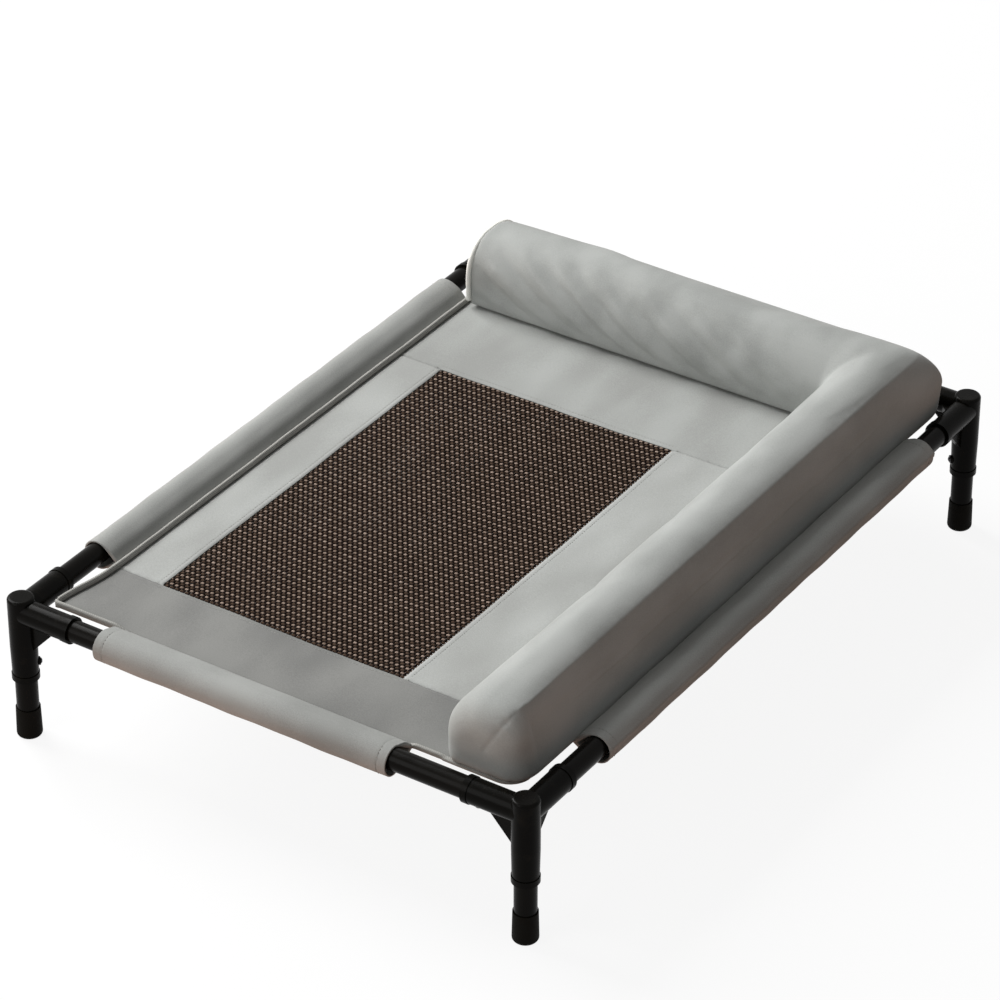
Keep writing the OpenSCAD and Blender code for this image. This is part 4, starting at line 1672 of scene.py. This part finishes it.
@dataclass
class Studio:
    """Pale floor, soft light from the left, and the camera at the photograph's place."""

    target: tuple[float, float, float] = (-0.0604, 0.0675, 0.1335)
    azimuth: float = 33.58
    elevation: float = 33.11
    distance: float = 5.793
    lens: float = 163.6
    sensor: float = 36.0
    sight: float = 150.0
    floor_half: float = 40.0
    floor_paint: str = "#cdab9b"
    floor_chalk: str = "#f6f6f6"
    floor_glow: float = 0.9
    ambient: float = 0.2
    lamps: tuple[Lamp, ...] = (
        Lamp("window_lamp", (-4.15, 0.5, 3.85), 3.3, 430.0),
        Lamp("fill_lamp", (-1.2, -3.2, 1.9), 2.2, 42.0),
    )

    def camera(self) -> None:
        """Stand the camera at its angle and distance from the target and look at it."""
        a, e = math.radians(self.azimuth), math.radians(self.elevation)
        back = Vector((math.sin(a) * math.cos(e), -math.cos(a) * math.cos(e), math.sin(e)))
        data = bpy.data.cameras.new("camera")
        data.lens, data.sensor_width, data.clip_end = self.lens, self.sensor, self.sight
        camera = bpy.data.objects.new("camera", data)
        camera.location = Vector(self.target) + back * self.distance
        camera.rotation_euler = (-back).to_track_quat("-Z", "Y").to_euler()
        bpy.context.scene.collection.objects.link(camera)
        bpy.context.scene.camera = camera

    @staticmethod
    def seen(tree: Tree) -> Socket:
        """Tell the rays that show the background from those that light the cot.

        Args:
            tree: the node tree to add to.

        Returns:
            1 for rays from the camera, a reflection or a clear material, and 0 for others.
        """
        path = add(tree, "ShaderNodeLightPath")
        first = add(tree, "ShaderNodeMath",
                    {0: path.outputs["Is Camera Ray"], 1: path.outputs["Is Glossy Ray"]}, operation="MAXIMUM")
        return add(tree, "ShaderNodeMath", {0: first.outputs[0], 1: path.outputs["Is Transmission Ray"]},
                   operation="MAXIMUM").outputs[0]

    def floor(self) -> None:
        """Lay a wide pale floor that looks white and keeps a light shadow."""
        made = bpy.data.materials.new("pale_floor")
        made.use_nodes = True
        tree = made.node_tree
        tree.nodes.clear()
        paint = add(tree, "ShaderNodeBsdfDiffuse", {"Color": linear(self.floor_paint)})
        white = add(tree, "ShaderNodeEmission", {"Color": (1.0, 1.0, 1.0, 1.0), "Strength": 1.0})
        chalk = add(tree, "ShaderNodeBsdfDiffuse", {"Color": linear(self.floor_chalk)})
        shown = add(tree, "ShaderNodeMixShader",
                    {0: self.floor_glow, 1: chalk.outputs[0], 2: white.outputs[0]})
        mixed = add(tree, "ShaderNodeMixShader",
                    {0: self.seen(tree), 1: paint.outputs[0], 2: shown.outputs[0]})
        add(tree, "ShaderNodeOutputMaterial", {"Surface": mixed.outputs[0]})
        edge = self.floor_half * np.array([[-1, -1, 0], [1, -1, 0], [1, 1, 0], [-1, 1, 0]])
        floor = make_piece("floor", edge, np.array([[0, 1, 2, 3]]), closed=False)
        floor.data.materials.append(made)

    def world(self) -> None:
        """Surround the cot with an even dim light that the camera sees as white."""
        world = bpy.data.worlds.new("studio")
        world.use_nodes = True
        tree = world.node_tree
        tree.nodes.clear()
        dim, white = (add(tree, "ShaderNodeBackground", {"Color": (1.0, 1.0, 1.0, 1.0), "Strength": strength})
                      for strength in (self.ambient, 1.0))
        mixed = add(tree, "ShaderNodeMixShader", {0: self.seen(tree), 1: dim.outputs[0], 2: white.outputs[0]})
        add(tree, "ShaderNodeOutputWorld", {"Surface": mixed.outputs[0]})
        bpy.context.scene.world = world

    def build(self) -> None:
        """Set up the camera, the lamps, the world and the floor."""
        bpy.context.scene.view_settings.view_transform = "Standard"
        self.camera()
        for lamp in self.lamps:
            lamp.hang()
        self.world()
        self.floor()


def main() -> None:
    """Build the cot's looks in order."""
    logging.basicConfig(level=logging.INFO, format="%(name)s: %(message)s")
    Studio().build()
    TubeFrame().dress()
    sling = Sling()
    sling.build()
    MeshWindow(sling).build()
    EdgeSeams(sling).build()
    RailSleeves().build()
    Bolster().build()
    FasteningTapes().build()


if __name__ == "__main__":
    main()
